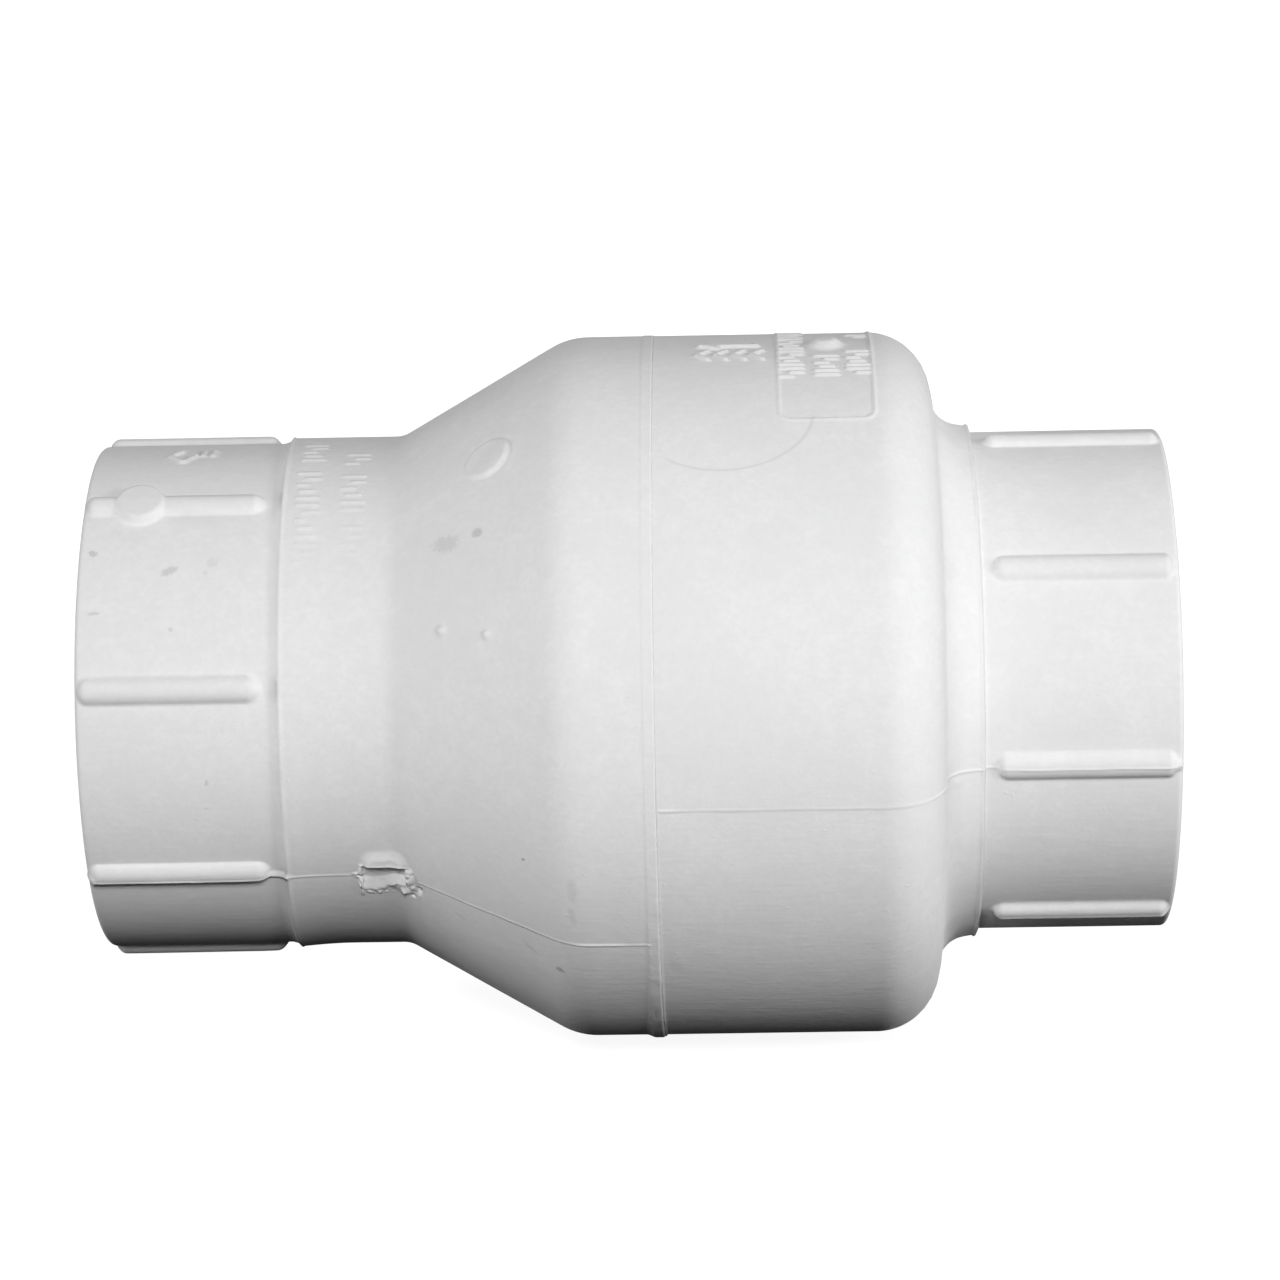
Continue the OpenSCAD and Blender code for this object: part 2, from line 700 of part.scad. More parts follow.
// Hexagon along X between x0 and x1, its corners trimmed at the x1 end
module hexagon(x0, x1) {
    corner_r = bolt_flats / 2 / cos(30);
    trim = corner_r - bolt_flats / 2;
    intersection() {
        rod(corner_r, x0, x1, $fn = 6);
        translate([x0, 0, 0]) along_x() rotate_extrude() polygon([[0, 0], [corner_r, 0],
            [corner_r, x1 - x0 - trim / 2], [bolt_flats / 2, x1 - x0], [0, x1 - x0]]);
    }
}

module clamp_bolt() {
    chamfer = 1;
    length = bolt_head_x + e - bolt_end_x;
    color(steel) in_seat() {
        hexagon(bolt_head_x, bolt_head_x + bolt_head_h);
        translate([bolt_end_x, 0, 0]) along_x() rotate_extrude() polygon([[0, 0], [bolt_r - chamfer, 0],
            [bolt_r, chamfer], [bolt_r, length], [0, length]]);
    }
}

// Flat washer in the seat frame between x0 and x1
module seat_washer(r, x0, x1) in_seat() difference() {
    rod(r, x0, x1);
    rod(bolt_hole_r, x0 - e, x1 + e);
}

module bolt_seal() color(rubber) seat_washer(washer_r, retainer_t, bolt_head_x);

module nut_washer() color(steel) seat_washer(washer_r, nut_x, arm_x);

module lock_nut() {
    color(steel) in_seat() difference() {
        union() {
            mirror([1, 0, 0]) hexagon(-nut_x, -nut_x + nut_h - nut_insert_t);
            rod(nut_collar_r, nut_x - nut_h, nut_x - e);
        }
        rod(nut_insert_r, nut_x - nut_h - e, nut_x - nut_h + nut_insert_t);
        rod(bolt_r, nut_x - nut_h - e, nut_x + e);
    }
}

module nut_insert() {
    color(acetal) in_seat() difference() {
        rod(nut_insert_r, nut_x - nut_h, nut_x - nut_h + nut_insert_t);
        rod(bolt_r, nut_x - nut_h - e, nut_x + e);
    }
}

inlet_body();
outlet_body();
seat_ring();
seat_o_ring();
seat_screws();
hinge_pin();
pin_washer_front();
pin_washer_rear();
pin_clip_front();
pin_clip_rear();
flapper_arm();
arm_bush_front();
arm_bush_rear();
flapper_disc();
disc_seal();
seal_retainer();
clamp_bolt();
bolt_seal();
nut_washer();
lock_nut();
nut_insert();
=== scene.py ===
"""Looks of the swing non-return valve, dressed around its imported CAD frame.

Sizes are in millimetres and angles in degrees, unless a comment says otherwise. A place on a moulding is
x along the flow axis and an angle around it, 0 at the top and growing towards the front.
"""
import json
import math

import bpy
import numpy as np
from mathutils import Matrix, Vector


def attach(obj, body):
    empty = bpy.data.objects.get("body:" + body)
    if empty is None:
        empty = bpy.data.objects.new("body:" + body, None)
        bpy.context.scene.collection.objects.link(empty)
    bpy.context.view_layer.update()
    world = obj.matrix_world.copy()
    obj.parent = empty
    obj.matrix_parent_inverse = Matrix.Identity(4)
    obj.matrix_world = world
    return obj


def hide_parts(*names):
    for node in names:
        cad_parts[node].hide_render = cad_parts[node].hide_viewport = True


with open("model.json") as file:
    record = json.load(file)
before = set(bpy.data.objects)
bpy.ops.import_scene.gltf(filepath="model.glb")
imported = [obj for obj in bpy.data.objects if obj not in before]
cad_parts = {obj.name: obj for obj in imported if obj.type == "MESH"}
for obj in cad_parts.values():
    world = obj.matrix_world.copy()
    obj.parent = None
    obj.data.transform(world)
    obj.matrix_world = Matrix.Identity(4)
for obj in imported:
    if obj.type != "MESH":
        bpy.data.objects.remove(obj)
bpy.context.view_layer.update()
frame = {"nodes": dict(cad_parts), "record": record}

# Metres in a millimetre
MM = 0.001

# Sizes of both mouldings, as in the part's source
FACE_X = 108.0
STOP_X = 69.9
SOCKET_R = 51.0
BORE_R = 44.6
LEDGE_R = 41.2
LEAD_IN = 1.2
RIM_ROUND = 1.0
BODY_R = 71.8
CHAMBER_R = 65.3
LAP_R = 68.5
LAP_END = 14.0
SEAM_X = 5.4
RIB_W = 5.5
RIB_H = 1.7
RIB_END = 2.0
RIB_PITCH = 45.0

# Inlet moulding: dome, collar, bulkhead and the seat's pocket
DOME_X = 61.5
SHOULDER = 12.8
COLLAR_R = 52.85
COLLAR_END = 69.3
COLLAR_FILLET = 6.3
BULKHEAD_X = 54.5
CHAMBER_FILLET = 6.0
POCKET_R = 46.1
POCKET_END = 65.9

# Outlet moulding: cone, neck and its turn against the inlet moulding
CONE_LARGE = -12.1
CONE_SMALL = -46.4
NECK_R = 52.1
NECK_END = -69.4
TWIST = 25.0

# Angles of the ribs, with the errors of moulding that the photograph shows
INLET_RIBS = (0.8, 45.2, 89.8, 135, 180, 225, 270, 315)
OUTLET_RIBS = (-21, 23.6, 69.8, 114.0, 160, 205, 250, 295)


# Numbers

# Factors of the hash, for the three axes and the seed, and one more to stir with
HASH_X = 374761393
HASH_Y = 668265263
HASH_Z = 2147483647
HASH_SEED = 1274126177
HASH_STIR = 2246822519
LOW_32_BITS = 0xFFFFFFFF
LOW_24_BITS = 0xFFFFFF


def smax(a, b, k):
    """The larger of a and b, with a fillet of about k between them."""
    return np.maximum(a, b) + np.maximum(k - np.abs(a - b), 0) ** 2 / (4 * k)


def ramp(v, lo, hi):
    """0 below lo, 1 above hi, smooth between."""
    t = np.clip((v - lo) / (hi - lo), 0, 1)
    return t * t * (3 - 2 * t)


def bump(v, half, soft):
    """1 inside half, falling smoothly to 0 over soft outside it."""
    return 1 - ramp(np.abs(v), half, half + soft)


def turned(a):
    """Difference of two angles, brought into -180 to 180 degrees."""
    return (a + 180) % 360 - 180


def hashed(i, j, k, seed):
    """Repeatable random numbers from -1 to 1 at lattice points."""
    n = (i * HASH_X + j * HASH_Y + k * HASH_Z + seed * HASH_SEED) & LOW_32_BITS
    n = ((n ^ (n >> 13)) * HASH_SEED) & LOW_32_BITS
    n = ((n ^ (n >> 16)) * HASH_STIR) & LOW_32_BITS
    return ((n ^ (n >> 15)) & LOW_24_BITS) / (LOW_24_BITS / 2) - 1


def noise(p, size, seed):
    """Smooth value noise at the points p, with features of that size."""
    q = p / size
    base = np.floor(q).astype(np.int64)
    f = q - base
    f = f * f * (3 - 2 * f)
    out = np.zeros(p.shape[:-1])
    for corner in np.ndindex(2, 2, 2):
        weight = 1
        for axis in range(3):
            weight = weight * (f[..., axis] if corner[axis] else 1 - f[..., axis])
        at = base + corner
        out += weight * hashed(at[..., 0], at[..., 1], at[..., 2], seed)
    return out


def rough(p, size, seed):
    """Noise with two finer octaves."""
    return sum(noise(p, size / 2 ** o, seed + o) / 2 ** o for o in range(3))


# Profiles and grids

# Longest chord of a rounding, and the largest turn between two of its points in radians
ARC_STEP = 0.08
ARC_TURN = 0.12
# Half the angle at a corner, in radians, from which it counts as straight
STRAIGHT = 1.55
# Spacing of the points at which an outline is measured, and the number of them around the axis
DENSE_STEP = 0.02
DENSE_TURN = 14400
# Spacing of the rows on the outside and inside of an outline, and at its sharpest bends
OUTSIDE_ROWS = 1.3
INSIDE_ROWS = 2.4
FINEST_ROWS = 0.12
# Largest turn of the outline between two rows, in radians, where that allows the finest rows
BEND_TURN = 0.3
# Spacing of the columns around a moulding where nothing stands on it
PLAIN_COLUMNS = 1.5


def rounded(corners):
    """Polyline through (x, r, round) corners, each corner turned into an arc of that radius."""
    out = []
    count = len(corners)
    for i in range(count):
        before, here, after = (np.array(corners[j % count][:2], float) for j in (i - 1, i, i + 1))
        radius = corners[i][2]
        back = (before - here) / np.linalg.norm(before - here)
        onward = (after - here) / np.linalg.norm(after - here)
        half = math.acos(np.clip(back @ onward, -1, 1)) / 2
        if radius == 0 or half > STRAIGHT:
            out.append(here)
            continue
        run = radius / math.tan(half)
        mid = here + (back + onward) / np.linalg.norm(back + onward) * radius / math.sin(half)
        start, end = here + run * back - mid, here + run * onward - mid
        t0, t1 = math.atan2(start[1], start[0]), math.atan2(end[1], end[0])
        turn = (t1 - t0 + math.pi) % (2 * math.pi) - math.pi
        steps = max(3, int(abs(turn) * radius / ARC_STEP), int(abs(turn) / ARC_TURN))
        for s in range(steps + 1):
            t = t0 + turn * s / steps
            out.append(mid + radius * np.array([math.cos(t), math.sin(t)]))
    return np.array(out)


def smoothed(values, reach):
    """Running mean over that many values on both sides of each, around a closed loop."""
    width = 2 * reach + 1
    return np.convolve(np.pad(values, reach, "wrap"), np.ones(width) / width, "valid")


def spread(places, density, gap):
    """Places picked along closely spaced ones, as many to the millimetre as the density there."""
    total = np.concatenate([[0], np.cumsum((density[1:] + density[:-1]) / 2 * gap)])
    count = int(math.ceil(total[-1]))
    return np.interp(np.arange(count) * total[-1] / count, total, places)


def resampled(line, step):
    """Points along a closed line, spaced by step(points, bend), with their outward normals."""
    loop = np.vstack([line, line[:1]])
    gaps = np.linalg.norm(np.diff(loop, axis=0), axis=1)
    loop = loop[np.concatenate([[True], gaps > 1e-9])]
    s = np.concatenate([[0], np.cumsum(np.linalg.norm(np.diff(loop, axis=0), axis=1))])
    dense = np.linspace(0, s[-1], int(s[-1] / DENSE_STEP))
    p = np.stack([np.interp(dense, s, loop[:, i]) for i in (0, 1)], 1)
    tangent = np.gradient(p, axis=0)
    tangent /= np.linalg.norm(tangent, axis=1)[:, None]
    angle = np.unwrap(np.arctan2(tangent[:, 1], tangent[:, 0]))
    bend = smoothed(np.abs(np.gradient(angle)) / DENSE_STEP, 6)
    at = spread(dense, smoothed(1 / step(p, bend), 25), DENSE_STEP)
    p = np.stack([np.interp(at, s, loop[:, i]) for i in (0, 1)], 1)
    angle = np.interp(at, dense, angle)
    return p, np.stack([-np.sin(angle), np.cos(angle)], 1)


def angles(step):
    """Angles around the axis, spaced by step(angle), which is measured at the socket's radius."""
    dense = np.linspace(-180, 180, DENSE_TURN + 1)
    density = smoothed(1 / step(dense[:-1]), 10)
    density = np.append(density, density[0])
    return spread(dense, density, math.radians(360) * SOCKET_R / DENSE_TURN)


def row_spacing(x, outer, bend, zones):
    """Spacing of the rows: from (from, to, spacing) zones on the outside, and finer at sharp bends."""
    want = np.full(len(x), OUTSIDE_ROWS)
    for lo, hi, spacing in zones:
        want = np.where((x > lo) & (x < hi), spacing, want)
    want = np.where(outer, want, INSIDE_ROWS)
    return np.minimum(want, np.maximum(BEND_TURN / np.maximum(bend, 1e-3), FINEST_ROWS))


def column_spacing(a, first_rib, rib_half, rib_spacing, zones):
    """Spacing of the columns around a moulding, from its ribs and its (middle, half, spacing) zones."""
    want = np.full(len(a), PLAIN_COLUMNS)
    off_rib = np.abs((a - first_rib + RIB_PITCH / 2) % RIB_PITCH - RIB_PITCH / 2) * math.radians(SOCKET_R)
    want = np.where(off_rib < rib_half, rib_spacing, want)
    for middle, half, spacing in zones:
        want = np.where(np.abs(a - middle) < half, spacing, want)
    return want


def around_axis(x, r, a):
    """Points at x, radius r and angle a."""
    rad = np.radians(a)
    return np.stack([x, -r * np.sin(rad), r * np.cos(rad)], -1)


def mesh_object(name, points, faces, smooth=True):
    """Object made of points in millimetres and faces that all have as many corners."""
    data = bpy.data.meshes.new(name)
    data.vertices.add(len(points))
    data.vertices.foreach_set("co", (points * MM).astype(np.float32).ravel())
    data.loops.add(faces.size)
    data.loops.foreach_set("vertex_index", faces.astype(np.int32).ravel())
    data.polygons.add(len(faces))
    data.polygons.foreach_set("loop_start", (np.arange(len(faces)) * faces.shape[1]).astype(np.int32))
    data.update(calc_edges=True)
    data.polygons.foreach_set("use_smooth", np.full(len(faces), smooth))
    data.validate()
    o = bpy.data.objects.new(name, data)
    bpy.context.scene.collection.objects.link(o)
    return o


def shell(name, outline, rows, columns, height, shift=None):
    """A moulding turned from its closed outline, with height(x, r, angle, points) added along the normal."""
    p, n = resampled(outline, rows)
    a = angles(columns)
    x, r = p[:, 0][:, None] + 0 * a, p[:, 1][:, None] + 0 * a
    h = height(x, r, a[None, :] + 0 * x, around_axis(x, r, a[None, :]))
    x, r = x + h * n[:, 0][:, None], r + h * n[:, 1][:, None]
    if shift:
        dx, dr = shift(x, r, a[None, :])
        x, r = x + dx, r + dr
    points = around_axis(x, r, a[None, :]).reshape(-1, 3)
    down, across = len(p), len(a)
    i, j = np.meshgrid(np.arange(down), np.arange(across), indexing="ij")
    next_i, next_j = (i + 1) % down, (j + 1) % across
    corners = [i * across + j, i * across + next_j, next_i * across + next_j, next_i * across + j]
    return mesh_object(name, points, np.stack(corners, -1).reshape(-1, 4))


# Features that both mouldings share

# Ribs are round bars sunk into the socket
RIB_SUNK = (RIB_W ** 2 / 4 - RIB_H ** 2) / (2 * RIB_H)
RIB_R = RIB_H + RIB_SUNK


def past_end(x, x0, x1):
    """How far x is past a rib's straight part, stretched so that the rib ends at x0 and x1."""
    return np.maximum(np.maximum(x0 + RIB_END - x, x - x1 + RIB_END), 0) * RIB_W / 2 / RIB_END


def rib_field(x, a, x0, x1, fillet, places):
    """Height of the ring of ribs over the socket, with blunt ends."""
    near = np.min([np.abs(turned(a - place)) for place in places], axis=0)
    d = np.hypot(SOCKET_R * np.radians(near), past_end(x, x0, x1))
    h = np.sqrt(np.maximum(RIB_R ** 2 - d ** 2, 0.01)) - RIB_SUNK
    return smax(h, 0 * h, fillet)


def round_pad(du, dv, radius, top, edge, foot):
    """Round pad that falls from its top, from edge inside its radius to foot outside it."""
    return top * (1 - ramp(np.hypot(du, dv), radius - edge, radius + foot))


def stroke(u, v, ends, width, soft=0.22):
    """1 along the straight strokes between the given ends, as (u0, v0, u1, v1)."""
    out = 0 * u
    for u0, v0, u1, v1 in ends:
        du, dv = u1 - u0, v1 - v0
        t = np.clip(((u - u0) * du + (v - v0) * dv) / (du * du + dv * dv), 0, 1)
        d = np.hypot(u - u0 - t * du, v - v0 - t * dv)
        out = np.maximum(out, 1 - ramp(d, width / 2 - soft, width / 2 + soft))
    return out


def chevrons(u, v, length, width, places, line):
    """Chevrons that point to -u, with their tips at the given places along u."""
    ends = []
    for u0 in places:
        ends += [(u0, 0, u0 + length, -width / 2), (u0, 0, u0 + length, width / 2)]
    return stroke(u, v, ends, line)


# Parts of the band that the bars of a row cover in turn, as (from, to)
BAR_LENGTHS = ((0, 1), (0, 0.55), (0, 1), (0.45, 1), (0.2, 0.8))


def plain_bars(u, v, bands, pitch, line):
    """Rows of plain bars in bands (u0, u1, v0, v1), where a maker would put words."""
    out = 0 * u
    for u0, u1, v0, v1 in bands:
        ends = []
        for i in range(int((v1 - v0) / pitch) + 1):
            lo, hi = BAR_LENGTHS[i * 3 % len(BAR_LENGTHS)]
            at = v0 + i * pitch
            ends.append((u0 + lo * (u1 - u0), at, u0 + hi * (u1 - u0), at))
        out = out + stroke(u, v, ends, line, line * 0.3)
    return out


def ridge(v, width, p, seed):
    """Thin ridge of flash around v = 0, uneven along its length."""
    wander = 0.12 * noise(p, 5, seed + 3)
    return bump(v + wander, width / 4, width * 3 / 4) * (1 + 0.5 * rough(p, 6, seed))


def skin(p, seed):
    """Faint waviness of the moulded surface."""
    return 0.035 * noise(p, 24, seed) + 0.012 * noise(p, 7, seed + 1)


def lumps(x, r, a, places):
    """Small round lumps and nicks, as (x, angle, size, height)."""
    h = 0 * x
    for x0, a0, size, tall in places:
        d = np.hypot(x - x0, r * np.radians(turned(a - a0)))
        h = h + tall * np.exp(-(d / size) ** 2)
    return h


def underside(a):
    """0 from the top down to the sides, 1 at the bottom."""
    return ramp(np.abs(a), 95, 165)


def rim_burr(t, depth):
    """Burr on the parting line t around from it, at a depth behind the socket's face."""
    return bump(t, 0.5, 0.9) * bump(depth - 1.0, 0.3, 0.7)


# Inlet moulding

# The collar narrows a little towards its lip
INLET = rounded([
    (SEAM_X, LAP_R, 0), (SEAM_X, BODY_R, 0.1), (DOME_X, BODY_R, SHOULDER),
    (DOME_X, COLLAR_R + 0.8, COLLAR_FILLET), (COLLAR_END, COLLAR_R - 0.6, 0.45),
    (COLLAR_END, SOCKET_R, 0.25), (FACE_X, SOCKET_R, RIM_ROUND),
    (FACE_X, BORE_R + LEAD_IN, 0.15), (FACE_X - LEAD_IN, BORE_R, 0.2), (STOP_X, BORE_R, 0.2),
    (STOP_X, LEDGE_R, 0.2), (POCKET_END, LEDGE_R, 0.1), (POCKET_END, POCKET_R, 0.1),
    (BULKHEAD_X + 0.8, POCKET_R, 0.1), (BULKHEAD_X, POCKET_R + 0.8, 0.1),
    (BULKHEAD_X, CHAMBER_R, CHAMBER_FILLET), (LAP_END + 0.4, CHAMBER_R, 0.1), (LAP_END + 0.4, LAP_R, 0.1)])

# Rows at the seam, arrow, panel, pad, lip and rib ends, as (from, to, spacing)
INLET_ROWS = [(5.4, 6.4, 0.2), (13.4, 29.2, 0.4), (29.2, 31.2, 0.24), (31.2, 48.2, 0.36), (48.2, 49.8, 0.24),
              (49.8, 68.6, 0.7), (68.6, 69.4, 0.14), (71.4, 75.4, 0.36), (103, 107, 0.36)]

# Label panel: middle, half length, half its angle, corner round, height of its frame and depth of its field
PANEL_X = 39.75
PANEL_HALF = 9.35
PANEL_A = 24.8
PANEL_ROUND = 2.5
PANEL_FRAME = 0.2
PANEL_SUNK = 0.05
PANEL_SEED = 71
# Plain bars on the panel, as (from, to) along x and around, with their pitch, width and height
PANEL_BARS = ((31.0, 35.3, -13.5, 16.5), (37.9, 42.2, 6.9, 16.5), (44.2, 48.3, 4.6, 16.5),
              (44.4, 48.0, -8.5, -5.5))
PANEL_BAR_PITCH = 1.75
PANEL_BAR_W = 0.85
PANEL_BAR_H = 0.42

# Pad over the flapper's hinge
HINGE_PAD_X = 40.1
HINGE_PAD_SIDE = -0.8
HINGE_PAD_R = 4.2
HINGE_PAD_H = 1.3

# Flow arrow, and the chevrons beside it
ARROW_TIP = 14.0
ARROW_NECK = 18.7
ARROW_BAR = (15.2, 0, 26.2, 0)
ARROW_W = 1.4
ARROW_H = 0.6
CHEVRON_TIPS = (14.2, 17.8, 21.4, 25.0)
CHEVRON_SIDE = 5.6
CHEVRON_H = 0.5

# Drawn flanks: angle of their ribs, and around from there the foot, rise, top and fall of the flank
FLANK_A = 135
FLANK_FOOT = -3.3
FLANK_RISE = 0.47
FLANK_TOP = 1.85
FLANK_TOP_AT = 0.9
FLANK_FALL = 1.7

# Parting lines, as (angle, seed of their noise), and the seeds of the lip and of the face at the weld
INLET_PARTING = ((90, 31), (-90, 32))
LIP_SEED = 41
WELD_FACE_SEED = 42
INLET_SKIN_SEED = 20

# Lumps and nicks, as (x, angle, size, height)
INLET_LUMPS = [
    (9.3, 118.7, 0.7, 0.35), (53.9, 95.7, 0.9, -0.14), (50.1, 106, 0.7, -0.16), (17.2, 141.1, 0.6, 0.2),
    (63.8, 91.8, 0.8, 0.16), (57.1, 91.7, 0.9, -0.12), (52.5, 150, 0.6, -0.2), (47, 128, 0.8, 0.12),
    (30, 165, 0.9, 0.2), (22, -140, 1.0, 0.15), (40, 200, 0.7, -0.15)]


def inlet_rows(p, bend):
    """Spacing of the rows along the inlet moulding's outline."""
    x, r = p[:, 0], p[:, 1]
    return row_spacing(x, r > np.where(x < DOME_X, 69, 48), bend, INLET_ROWS)


def inlet_columns(a):
    """Spacing of the columns: finer at the ribs, panel, its frame, the arrow and the parting lines."""
    return column_spacing(a, 0, 3.9, 0.4, [
        (0, PANEL_A + 0.8, 0.45), (-PANEL_A, 0.9, 0.24), (PANEL_A, 0.9, 0.24), (1.5, 13.5, 0.26),
        (-90, 0.7, 0.2), (90, 0.7, 0.2)])


def drawn_flank(x, a, x0, x1):
    """Flat flanks of the ribs at both sides of the underside, left by the pull of the mould."""
    t = SOCKET_R * np.radians(np.abs(turned(a)) - FLANK_A)
    drawn = FLANK_RISE * (t - FLANK_FOOT)
    back = FLANK_TOP - FLANK_FALL * (t - FLANK_TOP_AT)
    return np.minimum(drawn, back) - 0.25 * past_end(x, x0, x1) ** 2


def label_panel(x, arc, p):
    """Thin frame with round corners around a slightly sunk field, with rows of plain bars."""
    du = np.abs(x - PANEL_X) - PANEL_HALF + PANEL_ROUND
    dv = np.abs(arc) - BODY_R * math.radians(PANEL_A) + PANEL_ROUND
    beyond = np.hypot(np.maximum(du, 0), np.maximum(dv, 0))
    edge = beyond + np.minimum(np.maximum(du, dv), 0) - PANEL_ROUND
    line = PANEL_FRAME * bump(edge, 0.15, 0.4) * (1 + 0.3 * noise(p, 9, PANEL_SEED))
    bars = PANEL_BAR_H * plain_bars(x, arc, PANEL_BARS, PANEL_BAR_PITCH, PANEL_BAR_W)
    return line - PANEL_SUNK * ramp(-edge, 0, 0.6) + bars


def flow_marks(x, arc):
    """Arrow towards the outlet, with a row of chevrons beside it."""
    bar = stroke(x, arc, [ARROW_BAR], ARROW_W, 0.3)
    head = 1 - ramp(np.abs(arc) - 0.5 * (x - ARROW_TIP), -0.25, 0.35)
    head = head * ramp(x, ARROW_TIP, ARROW_TIP + 0.5) * (1 - ramp(x, ARROW_NECK, ARROW_NECK + 0.5))
    beside = chevrons(x, arc - CHEVRON_SIDE, 2.4, 5.0, CHEVRON_TIPS, 1.0)
    return ARROW_H * np.maximum(bar, head) + CHEVRON_H * beside


def inlet_parting(x, r, a, p):
    """Flash on the parting lines, the slight step beside them and a burr at the rim."""
    strong = 0.07 + 0.08 * (1 - ramp(x, 8, 16)) + 0.06 * ramp(x, 50, 60)
    h = 0 * x
    for line, seed in INLET_PARTING:
        t = r * np.radians(turned(a - line))
        h = h + ramp(x, 5.6, 6.5) * (x < FACE_X - 0.2) * strong * ridge(t, 0.32, p, seed)
        step = ramp(t, -0.05, 0.25) * (1 - ramp(t, 2, 14)) * ramp(x, 6, 9) * (1 - ramp(x, 50, 58))
        h = h - 0.1 * step + 0.5 * rim_burr(t, FACE_X - x) * (r > 49.5)
    return h


def inlet_lips(x, r, a, p):
    """Thin burr on the collar's lip, and the edge of the barrel that faces the weld."""
    lip = 0.26 * bump(x - COLLAR_END + 0.35, 0.15, 0.25) * (r > 51.6) * (1 + 0.5 * noise(p, 5, LIP_SEED))
    tall = (0.02 + 0.3 * underside(a)) * (1 + 0.5 * noise(p, 3, WELD_FACE_SEED))
    return lip + tall * bump(x - SEAM_X - 0.25, 0.12, 0.25) * (r > 71)


def inlet_height(x, r, a, p):
    """Everything that stands on the inlet moulding's outline."""
    out = r > 47
    barrel = out * ramp(x, 7, 9) * (r > 71)
    arc = BODY_R * np.radians(a)
    rib_start = COLLAR_END + 2.5
    ribs = rib_field(x, a, rib_start, FACE_X - 1.0, 0.3, INLET_RIBS)
    ribs = smax(ribs, drawn_flank(x, a, rib_start, FACE_X - 0.6), 0.12)
    h = out * skin(p, INLET_SKIN_SEED) + out * (r < 51.5) * (r > 50.8) * ribs
    h = h + barrel * round_pad(x - HINGE_PAD_X, arc - HINGE_PAD_SIDE, HINGE_PAD_R, HINGE_PAD_H, 2.8, 0.35)
    h = h + barrel * (label_panel(x, arc, p) + flow_marks(x, arc))
    return h + out * (inlet_parting(x, r, a, p) + inlet_lips(x, r, a, p) + lumps(x, r, a, INLET_LUMPS))


# Outlet moulding

SLOPE = math.atan2(BODY_R - NECK_R, CONE_LARGE - CONE_SMALL)
BODY_WALL = BODY_R - CHAMBER_R
CONE_WALL = BODY_WALL / math.cos(SLOPE)
OUTLET = rounded([
    (-FACE_X, BORE_R + LEAD_IN, 0.15), (-FACE_X, SOCKET_R, RIM_ROUND), (NECK_END - 1.9, SOCKET_R, 2.5),
    (NECK_END - 0.5, SOCKET_R + 0.5, 0.3), (NECK_END, NECK_R, 0.12), (CONE_SMALL, NECK_R, 6),
    (CONE_LARGE, BODY_R, 15), (SEAM_X, BODY_R, 0.1),
    (SEAM_X, LAP_R, 0), (LAP_END, LAP_R, 0.2),
    (LAP_END, CHAMBER_R, 0.3), (CONE_LARGE + (CONE_WALL - BODY_WALL) / math.tan(SLOPE), CHAMBER_R, 15),
    (CONE_SMALL, NECK_R - CONE_WALL, 1), (-STOP_X, LEDGE_R, 0.2), (-STOP_X, BORE_R, 0.2),
    (-FACE_X + LEAD_IN, BORE_R, 0.2)])

# Rows at the rib ends, pads, step, marks, gate, lumps and weld bead, as (from, to, spacing)
OUTLET_ROWS = [(-107.6, -104, 0.36), (-102.5, -90.5, 0.4), (-90, -83, 0.6), (-76.5, -70, 0.36),
               (-68, -50.5, 0.42), (-55.9, -41.6, 0.17), (-41.6, -34, 0.45), (-34, -20, 0.4),
               (-20, -12, 0.9), (1.4, 5.4, 0.22)]

# Round pad on a rib, and the pad on the cone with its ring
RIB_PAD_X = -96.6
RIB_PAD_R = 4.55
RIB_PAD_H = 1.9
CONE_PAD_X = -27.0
CONE_PAD_R = 4.75
CONE_PAD_H = 0.45
RING_R = 6.2
RING_H = 0.12

# How far out the socket stands, at the neck and more at its face, and the angle where it's most
SOCKET_OUT = 0.95
SOCKET_OUT_MORE = 0.1
SOCKET_OUT_A = 161
# How far the neck's step lies along x, all around and more at the angle where it's most
STEP_OFF = 0.4
STEP_OFF_MORE = 0.85
STEP_OFF_A = 70.9

# Plain bars on the neck, as (from, to) along x and around, with their pitch and width
NECK_BARS = ((-65.6, -60.9, -1.5, 8.5), (-66.2, -61.3, 12.5, 38.5), (-56.3, -51.9, 4.6, 9.0),
             (-56.6, -52.2, 14.0, 25.0), (-56.2, -52.0, 29.5, 37.0))
NECK_BAR_PITCH = 2.1
NECK_BAR_W = 0.75

# Lozenge and two ticks where the size is marked, as strokes (x0, around0, x1, around1)
SIZE_MARK = [(-92.6, 0.6, -90.0, -3.4), (-90.0, -3.4, -87.6, 0.6), (-87.6, 0.6, -90.0, 4.4),
             (-90.0, 4.4, -92.6, 0.6), (-86.2, -2.8, -86.2, 0.8), (-84.2, -2.8, -84.2, 0.8)]

# Parting lines, as (angle, seed of their noise), and the seeds of the step and skin
OUTLET_PARTING = ((115, 33), (-65, 34))
STEP_SEED = 43
OUTLET_SKIN_SEED = 25

# Weld bead: height above, how much taller it is at the underside, and seed
BEAD_H = 0.11
BEAD_MORE = 0.44
BEAD_SEED = 61

# Middle of the trimmed gate's scar, how far it reaches along x, and the seeds of its torn look
GATE_X = -48.7
GATE_A = 115.8
GATE_REACH = 8.5
JAG_SEED = 51
FINE_SEED = 55
STREAK_SEED = 58
